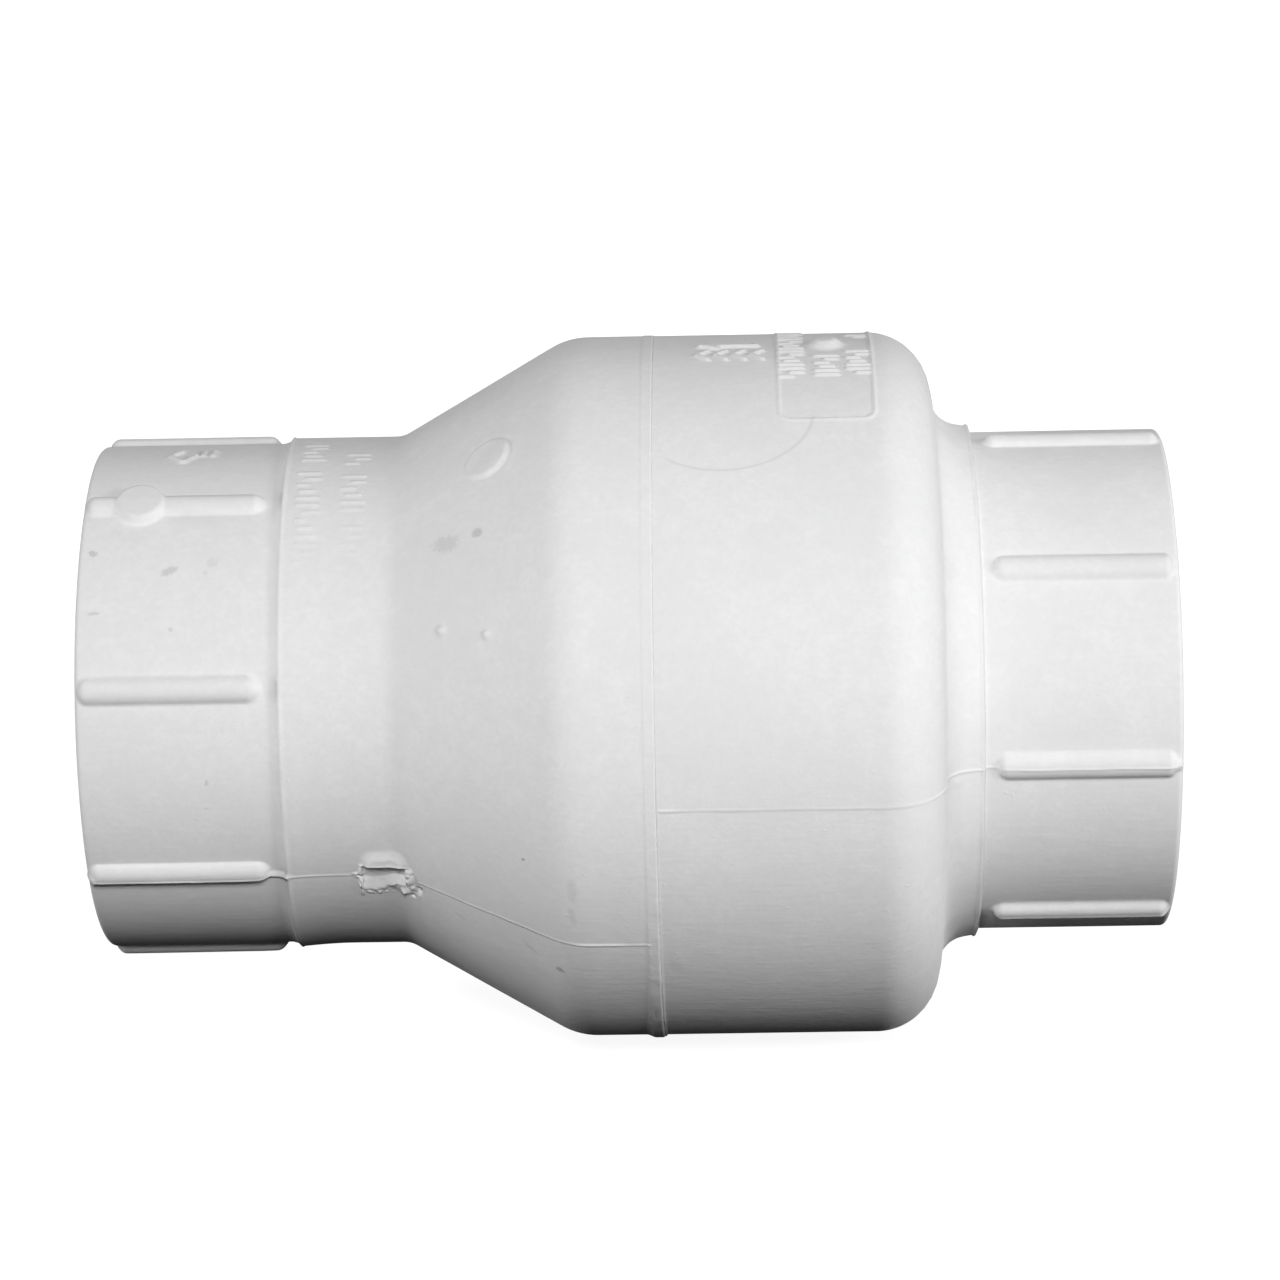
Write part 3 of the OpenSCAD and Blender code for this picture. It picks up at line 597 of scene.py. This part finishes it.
# Its hump: middle, half length along u and v, height, and height and slope of the flat cut from CUT_V on
HUMP_U = -0.2
HUMP_V = -2.9
HUMP_HALF_U = 5.4
HUMP_HALF_V = 4.6
HUMP_H = 1.32
CUT_V = -5.25
CUT_H = 0.75
CUT_SLOPE = 0.18
# Raised edge that ends the hump
EDGE_V = -3.72
EDGE_HALF = 3.6
EDGE_H = 0.1
# Its hollow: middle and half length along u, both ends along v, and depth
HOLLOW_U = -0.35
HOLLOW_HALF = 4.15
HOLLOW_START = -3.58
HOLLOW_END = 3.9
HOLLOW_DEPTH = 0.5
# Crest of the hollow's floor along v at the left, and how much sooner it comes at the right
CREST_V = 3.2
CREST_SOONER = 1.9

# Lumps and nicks, as (x, angle, size, height)
OUTLET_LUMPS = [
    (-35.8, 59.3, 0.8, 0.9), (-26.7, 61.1, 0.7, 0.8), (-30.5, 74, 0.6, 0.08), (-20, 150, 0.9, 0.15),
    (4.4, 137.5, 0.35, 0.45), (4.0, 136.2, 0.3, -0.25), (-95, 205, 0.8, 0.15), (-60, -120, 0.8, 0.12)]


def cone_r(x):
    """Radius of the cone at x."""
    return NECK_R + (x - CONE_SMALL) * math.tan(SLOPE)


def outlet_rows(p, bend):
    """Spacing of the rows along the outlet moulding's outline."""
    x, r = p[:, 0], p[:, 1]
    outer = r > np.where(x < -60, 48, np.where(x < CONE_LARGE, cone_r(x) - 4, 69))
    return row_spacing(x, outer, bend, OUTLET_ROWS)


def outlet_columns(a):
    """Spacing of the columns: finer at the ribs, neck bars, pads, gate, lumps and the rear parting line."""
    return column_spacing(a, TWIST, 4.6, 0.38, [
        (20.25, 26.75, 0.34), (TWIST, 6.4, 0.32), (GATE_A, 9, 0.18), (60.2, 2.4, 0.35), (-65, 0.7, 0.2)])


def outlet_shift(x, r, a):
    """The socket stands a little low and large, and the neck's step isn't quite square."""
    part = SOCKET_OUT * ramp(-x, 58, 78) + SOCKET_OUT_MORE * ramp(-x, 78, FACE_X)
    dr = part * np.maximum(0.4 + 0.6 * np.cos(np.radians(a - SOCKET_OUT_A)), 0)
    front = np.maximum(np.cos(np.radians(a - STEP_OFF_A)), 0)
    return (STEP_OFF + STEP_OFF_MORE * front) * bump(x - NECK_END, 1.5, 4) * (r > 48), dr


def cone_pad(x, a):
    """Low pad on the cone inside a faint ring, taller below, where the photograph shows its side."""
    along = (x - CONE_PAD_X) / math.cos(SLOPE)
    side = cone_r(CONE_PAD_X) * np.radians(turned(a - TWIST))
    d = np.hypot(along, side)
    tall = CONE_PAD_H * (1 + ramp(along + side, -3, 5))
    ring = RING_H * np.exp(-(d - RING_R) ** 2)
    return (x > -40) * (x < -12) * tall * (1 - ramp(d, CONE_PAD_R, CONE_PAD_R + 0.6) + ring)


def neck_bars(x, r, a):
    """Rows of plain bars on the neck, fading towards the front."""
    faint = (np.abs(r - NECK_R) < 0.8) * (0.24 - 0.11 * ramp(a, 12, 36))
    return faint * plain_bars(x, NECK_R * np.radians(a), NECK_BARS, NECK_BAR_PITCH, NECK_BAR_W)


def outlet_parting(x, r, a, p):
    """Flash on the parting lines, the slight step beside them, and blobs at the neck's step and the rim."""
    live = (x < 3.6) * (np.abs(x - GATE_X - 0.6) > 5.8)
    strong = 0.1 + 0.1 * ramp(x, -16, -10) + 0.06 * (x < NECK_END)
    h = 0 * x
    for line, seed in OUTLET_PARTING:
        t = r * np.radians(turned(a - line))
        step = ramp(t, -0.05, 0.3) * (1 - ramp(t, 2.5, 14)) * (x > -44) * (1 - ramp(x, -16, -10))
        h = h + live * (strong * ridge(t, 0.34, p, seed) - 0.11 * step)
        h = h + 0.35 * bump(t, 0.3, 0.9) * bump(x + 71.0, 1.2, 1.2)
        h = h + 0.45 * rim_burr(t, FACE_X + x) * (r > 49.5)
    return h


def weld_bead(x, r, a, p):
    """Bead at the seam, nearly flush above, prouder and rougher at the underside."""
    low = underside(a)
    tall = BEAD_H + BEAD_MORE * low + (0.03 + 0.12 * low) * rough(p, 2.6, BEAD_SEED)
    return tall * ramp(x, 3.0 - 1.4 * low, 3.4 + 0.4 * low) * (r > 71)


def gate_hump(u, v, jag, fine):
    """Smooth hump with a flat cut, which ends in a straight raised edge over the hollow."""
    reach = np.sqrt(((u - HUMP_U) / HUMP_HALF_U) ** 4 + ((v - HUMP_V) / HUMP_HALF_V) ** 2)
    cut = CUT_H + CUT_SLOPE * (v - CUT_V) + 0.04 * fine
    hump = np.maximum(np.minimum(HUMP_H * (1 - ramp(reach, 0.1, 1)), cut), 0)
    edge = EDGE_H * bump(v - EDGE_V, 0.08, 0.12) * bump(u, EDGE_HALF, 0.8)
    return (hump + edge) * (1 - ramp(v + 0.05 * jag, -3.6, -3.42))


def gate_hollow(u, v, jag, fine, streaks):
    """1 inside the torn hollow, and its floor, which rises to a slanting crest and falls away below it."""
    inside = ramp(v + 0.05 * jag, HOLLOW_START, HOLLOW_START + 0.18)
    inside = inside * (1 - ramp(v + 0.45 * jag, HOLLOW_END, HOLLOW_END + 0.35))
    inside = inside * (1 - ramp(np.abs(u - HOLLOW_U) + 0.3 * jag, HOLLOW_HALF, HOLLOW_HALF + 0.35))
    slant = ramp(u, -2, 2.4)
    crest = CREST_V - CREST_SOONER * slant + 0.3 * jag
    low = np.minimum(v, crest) - 0.3 + slant
    above = (0.042 + 0.04 * ramp(u, -4, 1)) * np.minimum(low, 0) ** 2
    top = above + (0.3 + 0.25 * slant) * np.maximum(low, 0) - HOLLOW_DEPTH
    floor = top - (top - 0.02) * np.clip((v - crest) / (4.2 - crest), 0, 1)
    floor = floor + 0.06 * jag + 0.03 * fine + 0.12 * streaks * ramp(v, crest, crest + 0.8)
    return inside, floor


def gate_walls(u, v, jag, fine):
    """Ragged walls left, right and below the hollow."""
    left = bump(u + 4.9 + 0.3 * jag, 0.2, 0.3) * ramp(v, -4.4, -3.2) * (1 - ramp(v, 3.9, 4.7))
    right = bump(u - 4.9 - 0.3 * jag - 0.12 * v, 0.5, 0.4)
    right = right * ramp(v + 0.5 * jag, -3.8, -1.8) * (1 - ramp(v, 1.2, 2.4))
    lower = bump(v - 4.3 + 0.4 * jag, 0.12, 0.28) * bump(u + 2.4, 2.2, 0.5)
    walls = left * (0.6 + 0.7 * fine) + right * (0.6 + 0.3 * fine) + lower * (0.12 + 0.4 * fine)
    return np.maximum(walls, 0)


def gate_bits(u, v, fine, streaks):
    """Lump at the lower right, thin tags on the left and two dark pits on the right."""

    def blob(u0, v0, half_u, half_v):
        return np.exp(-((u - u0) / half_u) ** 2 - ((v - v0) / half_v) ** 2)

    lump = 0.85 * blob(3.8, 3.1, 0.85, 0.85) * (1 + 0.3 * fine + 0.2 * streaks)
    tags = 0.45 * blob(-6.0, -1.2, 0.7, 0.22) + 0.4 * blob(-5.6, -0.3, 0.5, 0.2)
    tags = tags + 0.4 * blob(-5.0, 4.9, 0.3, 0.5)
    slot = 0.9 * np.exp(-((u - 6.4) / 0.45) ** 2) * ramp(v, 0.5, 0.9) * (1 - ramp(v, 1.3, 3.3))
    return lump + tags - 0.7 * blob(5.1, 3.85, 0.4, 0.4) - slot


def gate_scar(x, a, p):
    """Scar of the trimmed gate, in u along x and v around the neck towards the underside."""
    u = x - GATE_X
    v = NECK_R * np.radians(turned(a - GATE_A))
    jag, fine = rough(p, 1.7, JAG_SEED), rough(p, 0.75, FINE_SEED)
    streaks = rough(p * np.array([0.3, 1, 1]), 0.7, STREAK_SEED)
    inside, floor = gate_hollow(u, v, jag, fine, streaks)
    walls = (1 - 0.6 * inside) * gate_walls(u, v, jag, fine)
    scar = gate_hump(u, v, jag, fine) + inside * floor + walls + gate_bits(u, v, fine, streaks)
    return (np.abs(u) < GATE_REACH) * scar


def outlet_height(x, r, a, p):
    """Everything that stands on the outlet moulding's outline."""
    out = r > np.where(x < -60, 47, np.where(x < CONE_LARGE, cone_r(x) - 4, 69.5))
    socket = out * (x < NECK_END - 0.9) * (r > 50.8)
    arc = SOCKET_R * np.radians(a)
    h = out * skin(p, OUTLET_SKIN_SEED)
    h = h + socket * rib_field(x, a, -FACE_X + 0.5, NECK_END - 3.0, 0.35, OUTLET_RIBS)
    off_rib = SOCKET_R * np.radians(turned(a - OUTLET_RIBS[1]))
    pad = round_pad(x - RIB_PAD_X, off_rib, RIB_PAD_R, RIB_PAD_H, 0.15, 0.8)
    h = h + socket * (smax(h, pad, 0.5) - h) * (pad > 0.001)
    h = h + out * cone_pad(x, a) + out * neck_bars(x, r, a)
    h = h + socket * 0.5 * stroke(x, arc, SIZE_MARK, 1.0, 0.3) + out * outlet_parting(x, r, a, p)
    step_edge = 0.15 * bump(x - NECK_END - 0.15, 0.1, 0.25) * (1 + 0.6 * noise(p, 5, STEP_SEED))
    h = h + out * (r > 51.6) * step_edge + out * gate_scar(x, a, p)
    return h + out * (weld_bead(x, r, a, p) + lumps(x, r, a, OUTLET_LUMPS))


# Materials

def math_node(nodes, links, operation, *values):
    """Output of a Math node over sockets or plain numbers."""
    n = nodes.new("ShaderNodeMath")
    n.operation = operation
    for i, value in enumerate(values):
        if isinstance(value, (int, float)):
            n.inputs[i].default_value = value
        else:
            links.new(value, n.inputs[i])
    return n.outputs[0]


class Paint:
    """Small helper that builds a node material around one Principled shader."""

    def __init__(self, name, color, roughness, **fixed):
        self.mat = bpy.data.materials.new(name)
        self.mat.use_nodes = True
        self.nodes, self.links = self.mat.node_tree.nodes, self.mat.node_tree.links
        self.nodes.clear()
        out = self.nodes.new("ShaderNodeOutputMaterial")
        self.bsdf = self.nodes.new("ShaderNodeBsdfPrincipled")
        self.links.new(self.bsdf.outputs["BSDF"], out.inputs["Surface"])
        self.bsdf.inputs["Base Color"].default_value = (*color, 1)
        self.bsdf.inputs["Roughness"].default_value = roughness
        for key, value in fixed.items():
            self.bsdf.inputs[key.replace("_", " ")].default_value = value
        self.color = color
        self.place = self.nodes.new("ShaderNodeTexCoord").outputs["Object"]
        self.tint = None
        self.normal = None

    def node(self, kind, **values):
        """A new node, with the values set on its properties or else on its inputs."""
        n = self.nodes.new(kind)
        for key, value in values.items():
            if hasattr(n, key):
                setattr(n, key, value)
            else:
                n.inputs[key.replace("_", " ")].default_value = value
        return n

    def math(self, operation, *values):
        """Output of a Math node in this material."""
        return math_node(self.nodes, self.links, operation, *values)

    def noise(self, scale, detail=3, rough=0.5, stretch=None):
        """Noise with that many features to the metre."""
        place = self.place
        if stretch:
            m = self.node("ShaderNodeMapping")
            m.inputs["Scale"].default_value = stretch
            self.links.new(place, m.inputs["Vector"])
            place = m.outputs["Vector"]
        n = self.node("ShaderNodeTexNoise", Scale=scale, Detail=detail, Roughness=rough)
        self.links.new(place, n.inputs["Vector"])
        return n.outputs[0]

    def ranged(self, value, lo, hi, to_lo, to_hi):
        """Smooth change from to_lo at lo to to_hi at hi."""
        m = self.node("ShaderNodeMapRange", interpolation_type="SMOOTHSTEP")
        for i, v in zip((1, 2, 3, 4), (lo, hi, to_lo, to_hi)):
            m.inputs[i].default_value = v
        self.links.new(value, m.inputs[0])
        return m.outputs[0]

    def blend(self, mask, color):
        """Lays a colour over what is there, where the mask is 1."""
        m = self.node("ShaderNodeMix", data_type="RGBA")
        self.links.new(mask, m.inputs["Factor"])
        if self.tint is None:
            m.inputs[6].default_value = (*self.color, 1)
        else:
            self.links.new(self.tint, m.inputs[6])
        m.inputs[7].default_value = (*color, 1)
        self.tint = m.outputs[2]

    def bump(self, height, depth):
        """Adds relief of that depth in metres."""
        b = self.node("ShaderNodeBump", Strength=1.0, Distance=depth)
        self.links.new(height, b.inputs["Height"])
        if self.normal is not None:
            self.links.new(self.normal, b.inputs["Normal"])
        self.normal = b.outputs["Normal"]

    def roughen(self, value, lo, hi):
        """Lets the roughness vary from lo to hi with a noise."""
        self.links.new(self.ranged(value, 0.3, 0.7, lo, hi), self.bsdf.inputs["Roughness"])

    def around(self, x, angle, radius, turn, size):
        """Vector from a place on the outside, 1 at that size along x, around and out, and its length."""
        a = math.radians(angle)
        m = self.node("ShaderNodeMapping", vector_type="TEXTURE")
        m.inputs["Location"].default_value = (x * MM, -radius * math.sin(a) * MM, radius * math.cos(a) * MM)
        spin = Matrix.Rotation(a, 3, "X") @ Matrix.Rotation(math.radians(turn), 3, "Z")
        m.inputs["Rotation"].default_value = spin.to_euler("XYZ")
        m.inputs["Scale"].default_value = [v * MM for v in size]
        self.links.new(self.place, m.inputs["Vector"])
        d = self.node("ShaderNodeVectorMath", operation="LENGTH")
        self.links.new(m.outputs["Vector"], d.inputs[0])
        return m.outputs["Vector"], d.outputs["Value"]

    def mark(self, x, angle, radius, size, color, strength, turn, grain):
        """Small stain, or patch of painted shade, as long and wide as size, with its edge made ragged by a
        noise.
        """
        ragged = 0.8
        d = self.around(x, angle, radius, turn, (size[0] / 2, size[1] / 2, 4))[1]
        edge = self.math("MULTIPLY_ADD", grain, ragged * 2, d)
        self.blend(self.ranged(edge, 0.5 + ragged, 1.1 + ragged, strength, 0), color)

    def hairline(self, x, angle, radius, size, line, color, strength):
        """Fine curve around the lower right of an ellipse whose half axes are size."""
        vector, d = self.around(x, angle, radius, 0, (*size, 8))
        away = self.math("ABSOLUTE", self.math("SUBTRACT", d, 1))
        thin = self.ranged(away, line / 2 / size[0], line / size[0], strength, 0)
        split = self.node("ShaderNodeSeparateXYZ")
        self.links.new(vector, split.inputs[0])
        for value, lo, hi in ((split.outputs[1], 0, -0.15), (split.outputs[0], -0.66, -0.5)):
            thin = self.math("MULTIPLY", thin, self.ranged(value, lo, hi, 0, 1))
        self.blend(thin, color)

    def done(self):
        """The finished material."""
        if self.tint is not None:
            self.links.new(self.tint, self.bsdf.inputs["Base Color"])
        if self.normal is not None:
            self.links.new(self.normal, self.bsdf.inputs["Normal"])
        return self.mat


WHITE = (0.86, 0.86, 0.865)
# Grey of the stains and the scratch, and of the painted shade beside the rib pad
DUST_AND_SHADE = (0.45, 0.45, 0.46)

# Stains on both mouldings, and one patch of painted shade beside the rib pad, as (x, angle, length along x,
# width around, darkness, turn)
MARKS = [
    # The entry at x -89.8, beside the rib pad, is painted shade rather than a stain
    (-105.1, 37.6, 2.2, 1.7, 0.5, -15), (-89.8, 42.5, 4.2, 2.0, 0.4, 25), (-81.5, 40.5, 2.6, 2.6, 0.16, 0),
    (-82.7, 43.0, 1.0, 1.0, 0.2, 0), (-104.3, 52.4, 3.0, 1.0, 0.35, 5), (-89.1, 56.4, 1.1, 1.1, 0.3, 0),
    (-82.7, 90.5, 0.9, 1.6, 0.4, 0), (-20.5, 100.1, 0.8, 0.8, 0.75, 0), (-28.6, 41.4, 2.6, 2.4, 0.5, 0),
    (-35.0, 41.8, 6.6, 4.4, 0.28, -10), (-11.1, 103.8, 2.2, 6.5, 0.2, 0), (-11.3, 108.8, 1.6, 5, 0.22, 10),
    (-14.3, 122.4, 2.2, 1.4, 0.75, -30), (-20.1, 119.8, 4.5, 0.9, 0.25, -35),
    (17.2, 141.1, 0.8, 0.8, 0.5, 0), (-34, 120, 3.0, 0.8, 0.18, -30), (60, 205, 2.5, 1.2, 0.3, 15),
    (20, 240, 3.0, 1.5, 0.22, 40), (-60, 220, 2.0, 1.5, 0.3, 0), (-90, 260, 2.4, 1.4, 0.25, 10),
    (85, 300, 2.0, 1.0, 0.2, 0)]


def radius_at(x):
    """Radius of the outside at x, roughly so on the dome."""
    if x < NECK_END or x > COLLAR_END:
        return SOCKET_R
    if x < CONE_SMALL:
        return NECK_R
    if x < CONE_LARGE:
        return cone_r(x)
    return BODY_R if x < 50 else 66.0


def white_plastic(name, marks):
    """Satin white moulding with faint clouds, fine grain, pimples, and stains or patches of painted shade.
    """
    p = Paint(name, WHITE, 0.5, Specular_IOR_Level=0.0)
    grain = p.noise(1700, 3, 0.6)
    p.blend(p.ranged(p.noise(38, 4, 0.6), 0.42, 0.62, 0, 0.5), (0.80, 0.80, 0.805))
    p.blend(p.ranged(p.noise(420, 3, 0.6), 0.56, 0.75, 0, 0.22), (0.75, 0.75, 0.755))
    p.blend(p.ranged(p.noise(850, 3, 0.65), 0.32, 0.68, 0, 0.5), (0.79, 0.79, 0.795))
    p.blend(p.ranged(p.noise(300, 3, 0.6), 0.35, 0.65, 0, 0.35), (0.79, 0.79, 0.795))
    for x, a, long, wide, dark, turn in marks:
        p.mark(x, a, radius_at(x), (long, wide), DUST_AND_SHADE, dark, turn, grain)
    p.roughen(p.noise(160, 3, 0.6), 0.44, 0.6)
    p.bump(p.noise(1300, 2), 0.00002)
    p.bump(p.noise(330, 3, 0.6), 0.00006)
    p.bump(p.noise(1100, 2, stretch=(0.12, 1, 1)), 0.00004)
    p.bump(p.ranged(p.noise(620, 2, 0.6), 0.67, 0.79, 0, 1), 0.00004)
    return p


def inlet_plastic():
    """White plastic with a long fine scratch on the barrel."""
    p = white_plastic("pvc_inlet", [m for m in MARKS if m[0] > SEAM_X])
    p.hairline(19, 23.1, BODY_R, (18, 15.5), 0.45, DUST_AND_SHADE, 0.2)
    return p.done()


def outlet_plastic():
    """White plastic with the outlet's own stains and a patch of painted shade beside the rib pad."""
    return white_plastic("pvc_outlet", [m for m in MARKS if m[0] < SEAM_X]).done()


def plain_plastic(name, color, roughness, grain):
    """Moulded plastic of one colour, with faint clouds and a grain that deep in metres."""
    p = Paint(name, color, roughness)
    p.blend(p.ranged(p.noise(60, 3), 0.4, 0.65, 0, 0.5), tuple(c * 0.93 for c in color))
    p.roughen(p.noise(220, 2), roughness * 0.85, roughness * 1.2)
    p.bump(p.noise(1000, 2), grain)
    return p.done()


def steel(name):
    """Satin stainless steel, brushed along x."""
    p = Paint(name, (0.62, 0.62, 0.63), 0.28, Metallic=1.0)
    brushed = p.noise(300, 3, 0.6, stretch=(1, 14, 14))
    p.roughen(brushed, 0.2, 0.36)
    p.blend(p.ranged(p.noise(90, 3), 0.45, 0.7, 0, 0.4), (0.5, 0.5, 0.51))
    p.bump(brushed, 0.000006)
    return p.done()


def rubber(name):
    """Black moulded rubber, matt."""
    p = Paint(name, (0.03, 0.03, 0.032), 0.62)
    p.blend(p.ranged(p.noise(300, 4, 0.6), 0.45, 0.7, 0, 0.4), (0.042, 0.042, 0.044))
    p.roughen(p.noise(400, 2), 0.5, 0.74)
    p.bump(p.noise(1600, 2), 0.00002)
    return p.done()


# Pieces

inlet = shell("inlet_shell", INLET, inlet_rows, inlet_columns, inlet_height)
outlet = shell("outlet_shell", OUTLET, outlet_rows, outlet_columns, outlet_height, outlet_shift)
inlet.data.materials.append(inlet_plastic())
outlet.data.materials.append(outlet_plastic())
for piece, node in ((inlet, "inlet_body"), (outlet, "outlet_body")):
    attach(piece, "housing")
    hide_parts(node)

FINISH = {
    "pvc_body": plain_plastic("pvc_plain", WHITE, 0.42, 0.00002),
    "pvc_seat": plain_plastic("pvc_seat_look", (0.8, 0.79, 0.76), 0.4, 0.00002),
    "pvc_grey": plain_plastic("pvc_grey_look", (0.38, 0.40, 0.42), 0.4, 0.00002),
    "acetal": plain_plastic("acetal_look", (0.78, 0.76, 0.70), 0.3, 0.00001),
    "epdm": rubber("epdm_look"),
    "stainless": steel("stainless_look"),
}
for row in frame["record"]["subparts"]:
    o = frame["nodes"][row["node"]]
    look = FINISH[row["material_slot"]]
    if o.material_slots:
        for s in o.material_slots:
            s.material = look
    else:
        o.data.materials.append(look)

# Floor and world

FLOOR_Z = -72.9
FLOOR_HALF = 3000.0
# Distances in metres between which the floor's own white grows, and its strength at both
GLOW_REACH = (0.25, 0.9)
GLOW = (0.9, 1.0)
# Grey of the lit floor as it is seen, and as it lights the object
FLOOR_SEEN = 0.4
FLOOR_BOUNCE = 0.03
# Strength of the world as it is seen, and as it lights the object
WORLD_SEEN = 1.0
WORLD_LIGHT = 0.004


def grey(value):
    """Opaque grey of that value."""
    return (value, value, value, 1)


def seen_rays(nodes, links):
    """1 on camera, glossy and transmission rays, and 0 on those that light the object."""
    path = nodes.new("ShaderNodeLightPath")
    mask = path.outputs["Is Camera Ray"]
    for ray in ("Is Glossy Ray", "Is Transmission Ray"):
        mask = math_node(nodes, links, "MAXIMUM", mask, path.outputs[ray])
    return mask


def switched(nodes, links, lighting, seen):
    """Shader that is one thing to the rays that light the object and another to those that are seen."""
    mix = nodes.new("ShaderNodeMixShader")
    links.new(seen_rays(nodes, links), mix.inputs[0])
    links.new(lighting, mix.inputs[1])
    links.new(seen, mix.inputs[2])
    return mix.outputs[0]


def floor_material():
    """White floor that shows the object's shadow and hardly lights the object."""
    mat = bpy.data.materials.new("floor_white")
    mat.use_nodes = True
    nodes, links = mat.node_tree.nodes, mat.node_tree.links
    nodes.clear()
    out = nodes.new("ShaderNodeOutputMaterial")
    place = nodes.new("ShaderNodeTexCoord")
    reach = nodes.new("ShaderNodeVectorMath")
    reach.operation = "LENGTH"
    links.new(place.outputs["Object"], reach.inputs[0])
    near = nodes.new("ShaderNodeMapRange")
    for i, v in zip((1, 2, 3, 4), (*GLOW_REACH, *GLOW)):
        near.inputs[i].default_value = v
    links.new(reach.outputs["Value"], near.inputs[0])
    glow = nodes.new("ShaderNodeEmission")
    glow.inputs["Color"].default_value = grey(1)
    links.new(near.outputs[0], glow.inputs["Strength"])
    lit = nodes.new("ShaderNodeBsdfDiffuse")
    lit.inputs["Color"].default_value = grey(FLOOR_SEEN)
    seen = nodes.new("ShaderNodeAddShader")
    links.new(glow.outputs[0], seen.inputs[0])
    links.new(lit.outputs[0], seen.inputs[1])
    bounce = nodes.new("ShaderNodeBsdfDiffuse")
    bounce.inputs["Color"].default_value = grey(FLOOR_BOUNCE)
    links.new(switched(nodes, links, bounce.outputs[0], seen.outputs[0]), out.inputs["Surface"])
    return mat


def white_world():
    """World that is seen white and lights the object only a little."""
    world = bpy.data.worlds.new("studio")
    world.use_nodes = True
    nodes, links = world.node_tree.nodes, world.node_tree.links
    nodes.clear()
    out = nodes.new("ShaderNodeOutputWorld")
    shades = []
    for strength in (WORLD_LIGHT, WORLD_SEEN):
        shade = nodes.new("ShaderNodeBackground")
        shade.inputs["Color"].default_value = grey(1)
        shade.inputs["Strength"].default_value = strength
        shades.append(shade.outputs[0])
    links.new(switched(nodes, links, *shades), out.inputs["Surface"])
    return world


corners = [(-1, -1), (1, -1), (1, 1), (-1, 1)]
floor_points = np.array([(x * FLOOR_HALF, y * FLOOR_HALF, FLOOR_Z) for x, y in corners])
floor = mesh_object("floor", floor_points, np.array([[0, 1, 2, 3]]), smooth=False)
floor.data.materials.append(floor_material())
bpy.context.scene.world = white_world()

# Lamps

# Distance of every lamp from the valve's middle, in metres
LAMP_DISTANCE = 1.2
# Name, azimuth from the front towards +X, elevation, size in metres, watts
LAMPS = [
    ("key", -0.5, 32.0, 0.3, 9.6),
    ("fill", 59.8, 17.1, 0.5, 5.64),
    ("right", 92.9, 0.5, 0.1, 2.7),
    ("left", -84.4, 4.0, 0.25, 3.65),
    ("back", 177, 48.6, 0.3, 2.4),
    ("rear", 180, 2, 0.1, 6.0),
]

for name, azimuth, elevation, size, watts in LAMPS:
    a, e = math.radians(azimuth), math.radians(elevation)
    at = Vector((math.sin(a) * math.cos(e), -math.cos(a) * math.cos(e), math.sin(e))) * LAMP_DISTANCE
    data = bpy.data.lights.new(name, "AREA")
    data.shape = "DISK"
    data.size = size
    data.energy = watts
    lamp = bpy.data.objects.new(name, data)
    lamp.matrix_world = Matrix.Translation(at) @ (-at).to_track_quat("-Z", "Y").to_matrix().to_4x4()
    lamp.visible_camera = False
    bpy.context.scene.collection.objects.link(lamp)

# Camera, fitted to the photograph

# Width of the photograph and focal length, in its pixels
PHOTO_PX = 1280
FOCAL_PX = 4313.0
SENSOR_W = 36
# How the camera sees the valve: tilted about x, then turned about z and rolled about y
TILT = math.radians(19.1)
YAW = math.radians(-1.274)
ROLL = math.radians(-0.930)
# Point on the flow axis that the camera sees that far to its right, ahead of it and above it
PIVOT_X = 1.26
OFF_RIGHT = -0.033
OFF_AHEAD = 889.9
OFF_UP = -9.330

tilt = Matrix.Rotation(TILT, 3, "X")
turn = Matrix.Rotation(ROLL, 3, "Y") @ Matrix.Rotation(YAW, 3, "Z")
off = Vector((OFF_RIGHT, OFF_AHEAD, OFF_UP))
eye = tilt.transposed() @ (Vector((PIVOT_X, 0, 0)) - turn.transposed() @ off)
right, ahead, up = (Vector((turn @ tilt)[i]) for i in range(3))
camera_data = bpy.data.cameras.new("photo_camera")
camera_data.sensor_fit = "HORIZONTAL"
camera_data.sensor_width = SENSOR_W
camera_data.lens = SENSOR_W * FOCAL_PX / PHOTO_PX
camera_data.clip_start = 0.05
camera_data.clip_end = 20
camera = bpy.data.objects.new("photo_camera", camera_data)
camera.matrix_world = Matrix.Translation(eye * MM) @ Matrix((right, up, -ahead)).transposed().to_4x4()
bpy.context.scene.collection.objects.link(camera)
bpy.context.scene.camera = camera
bpy.context.scene.view_settings.view_transform = "Standard"
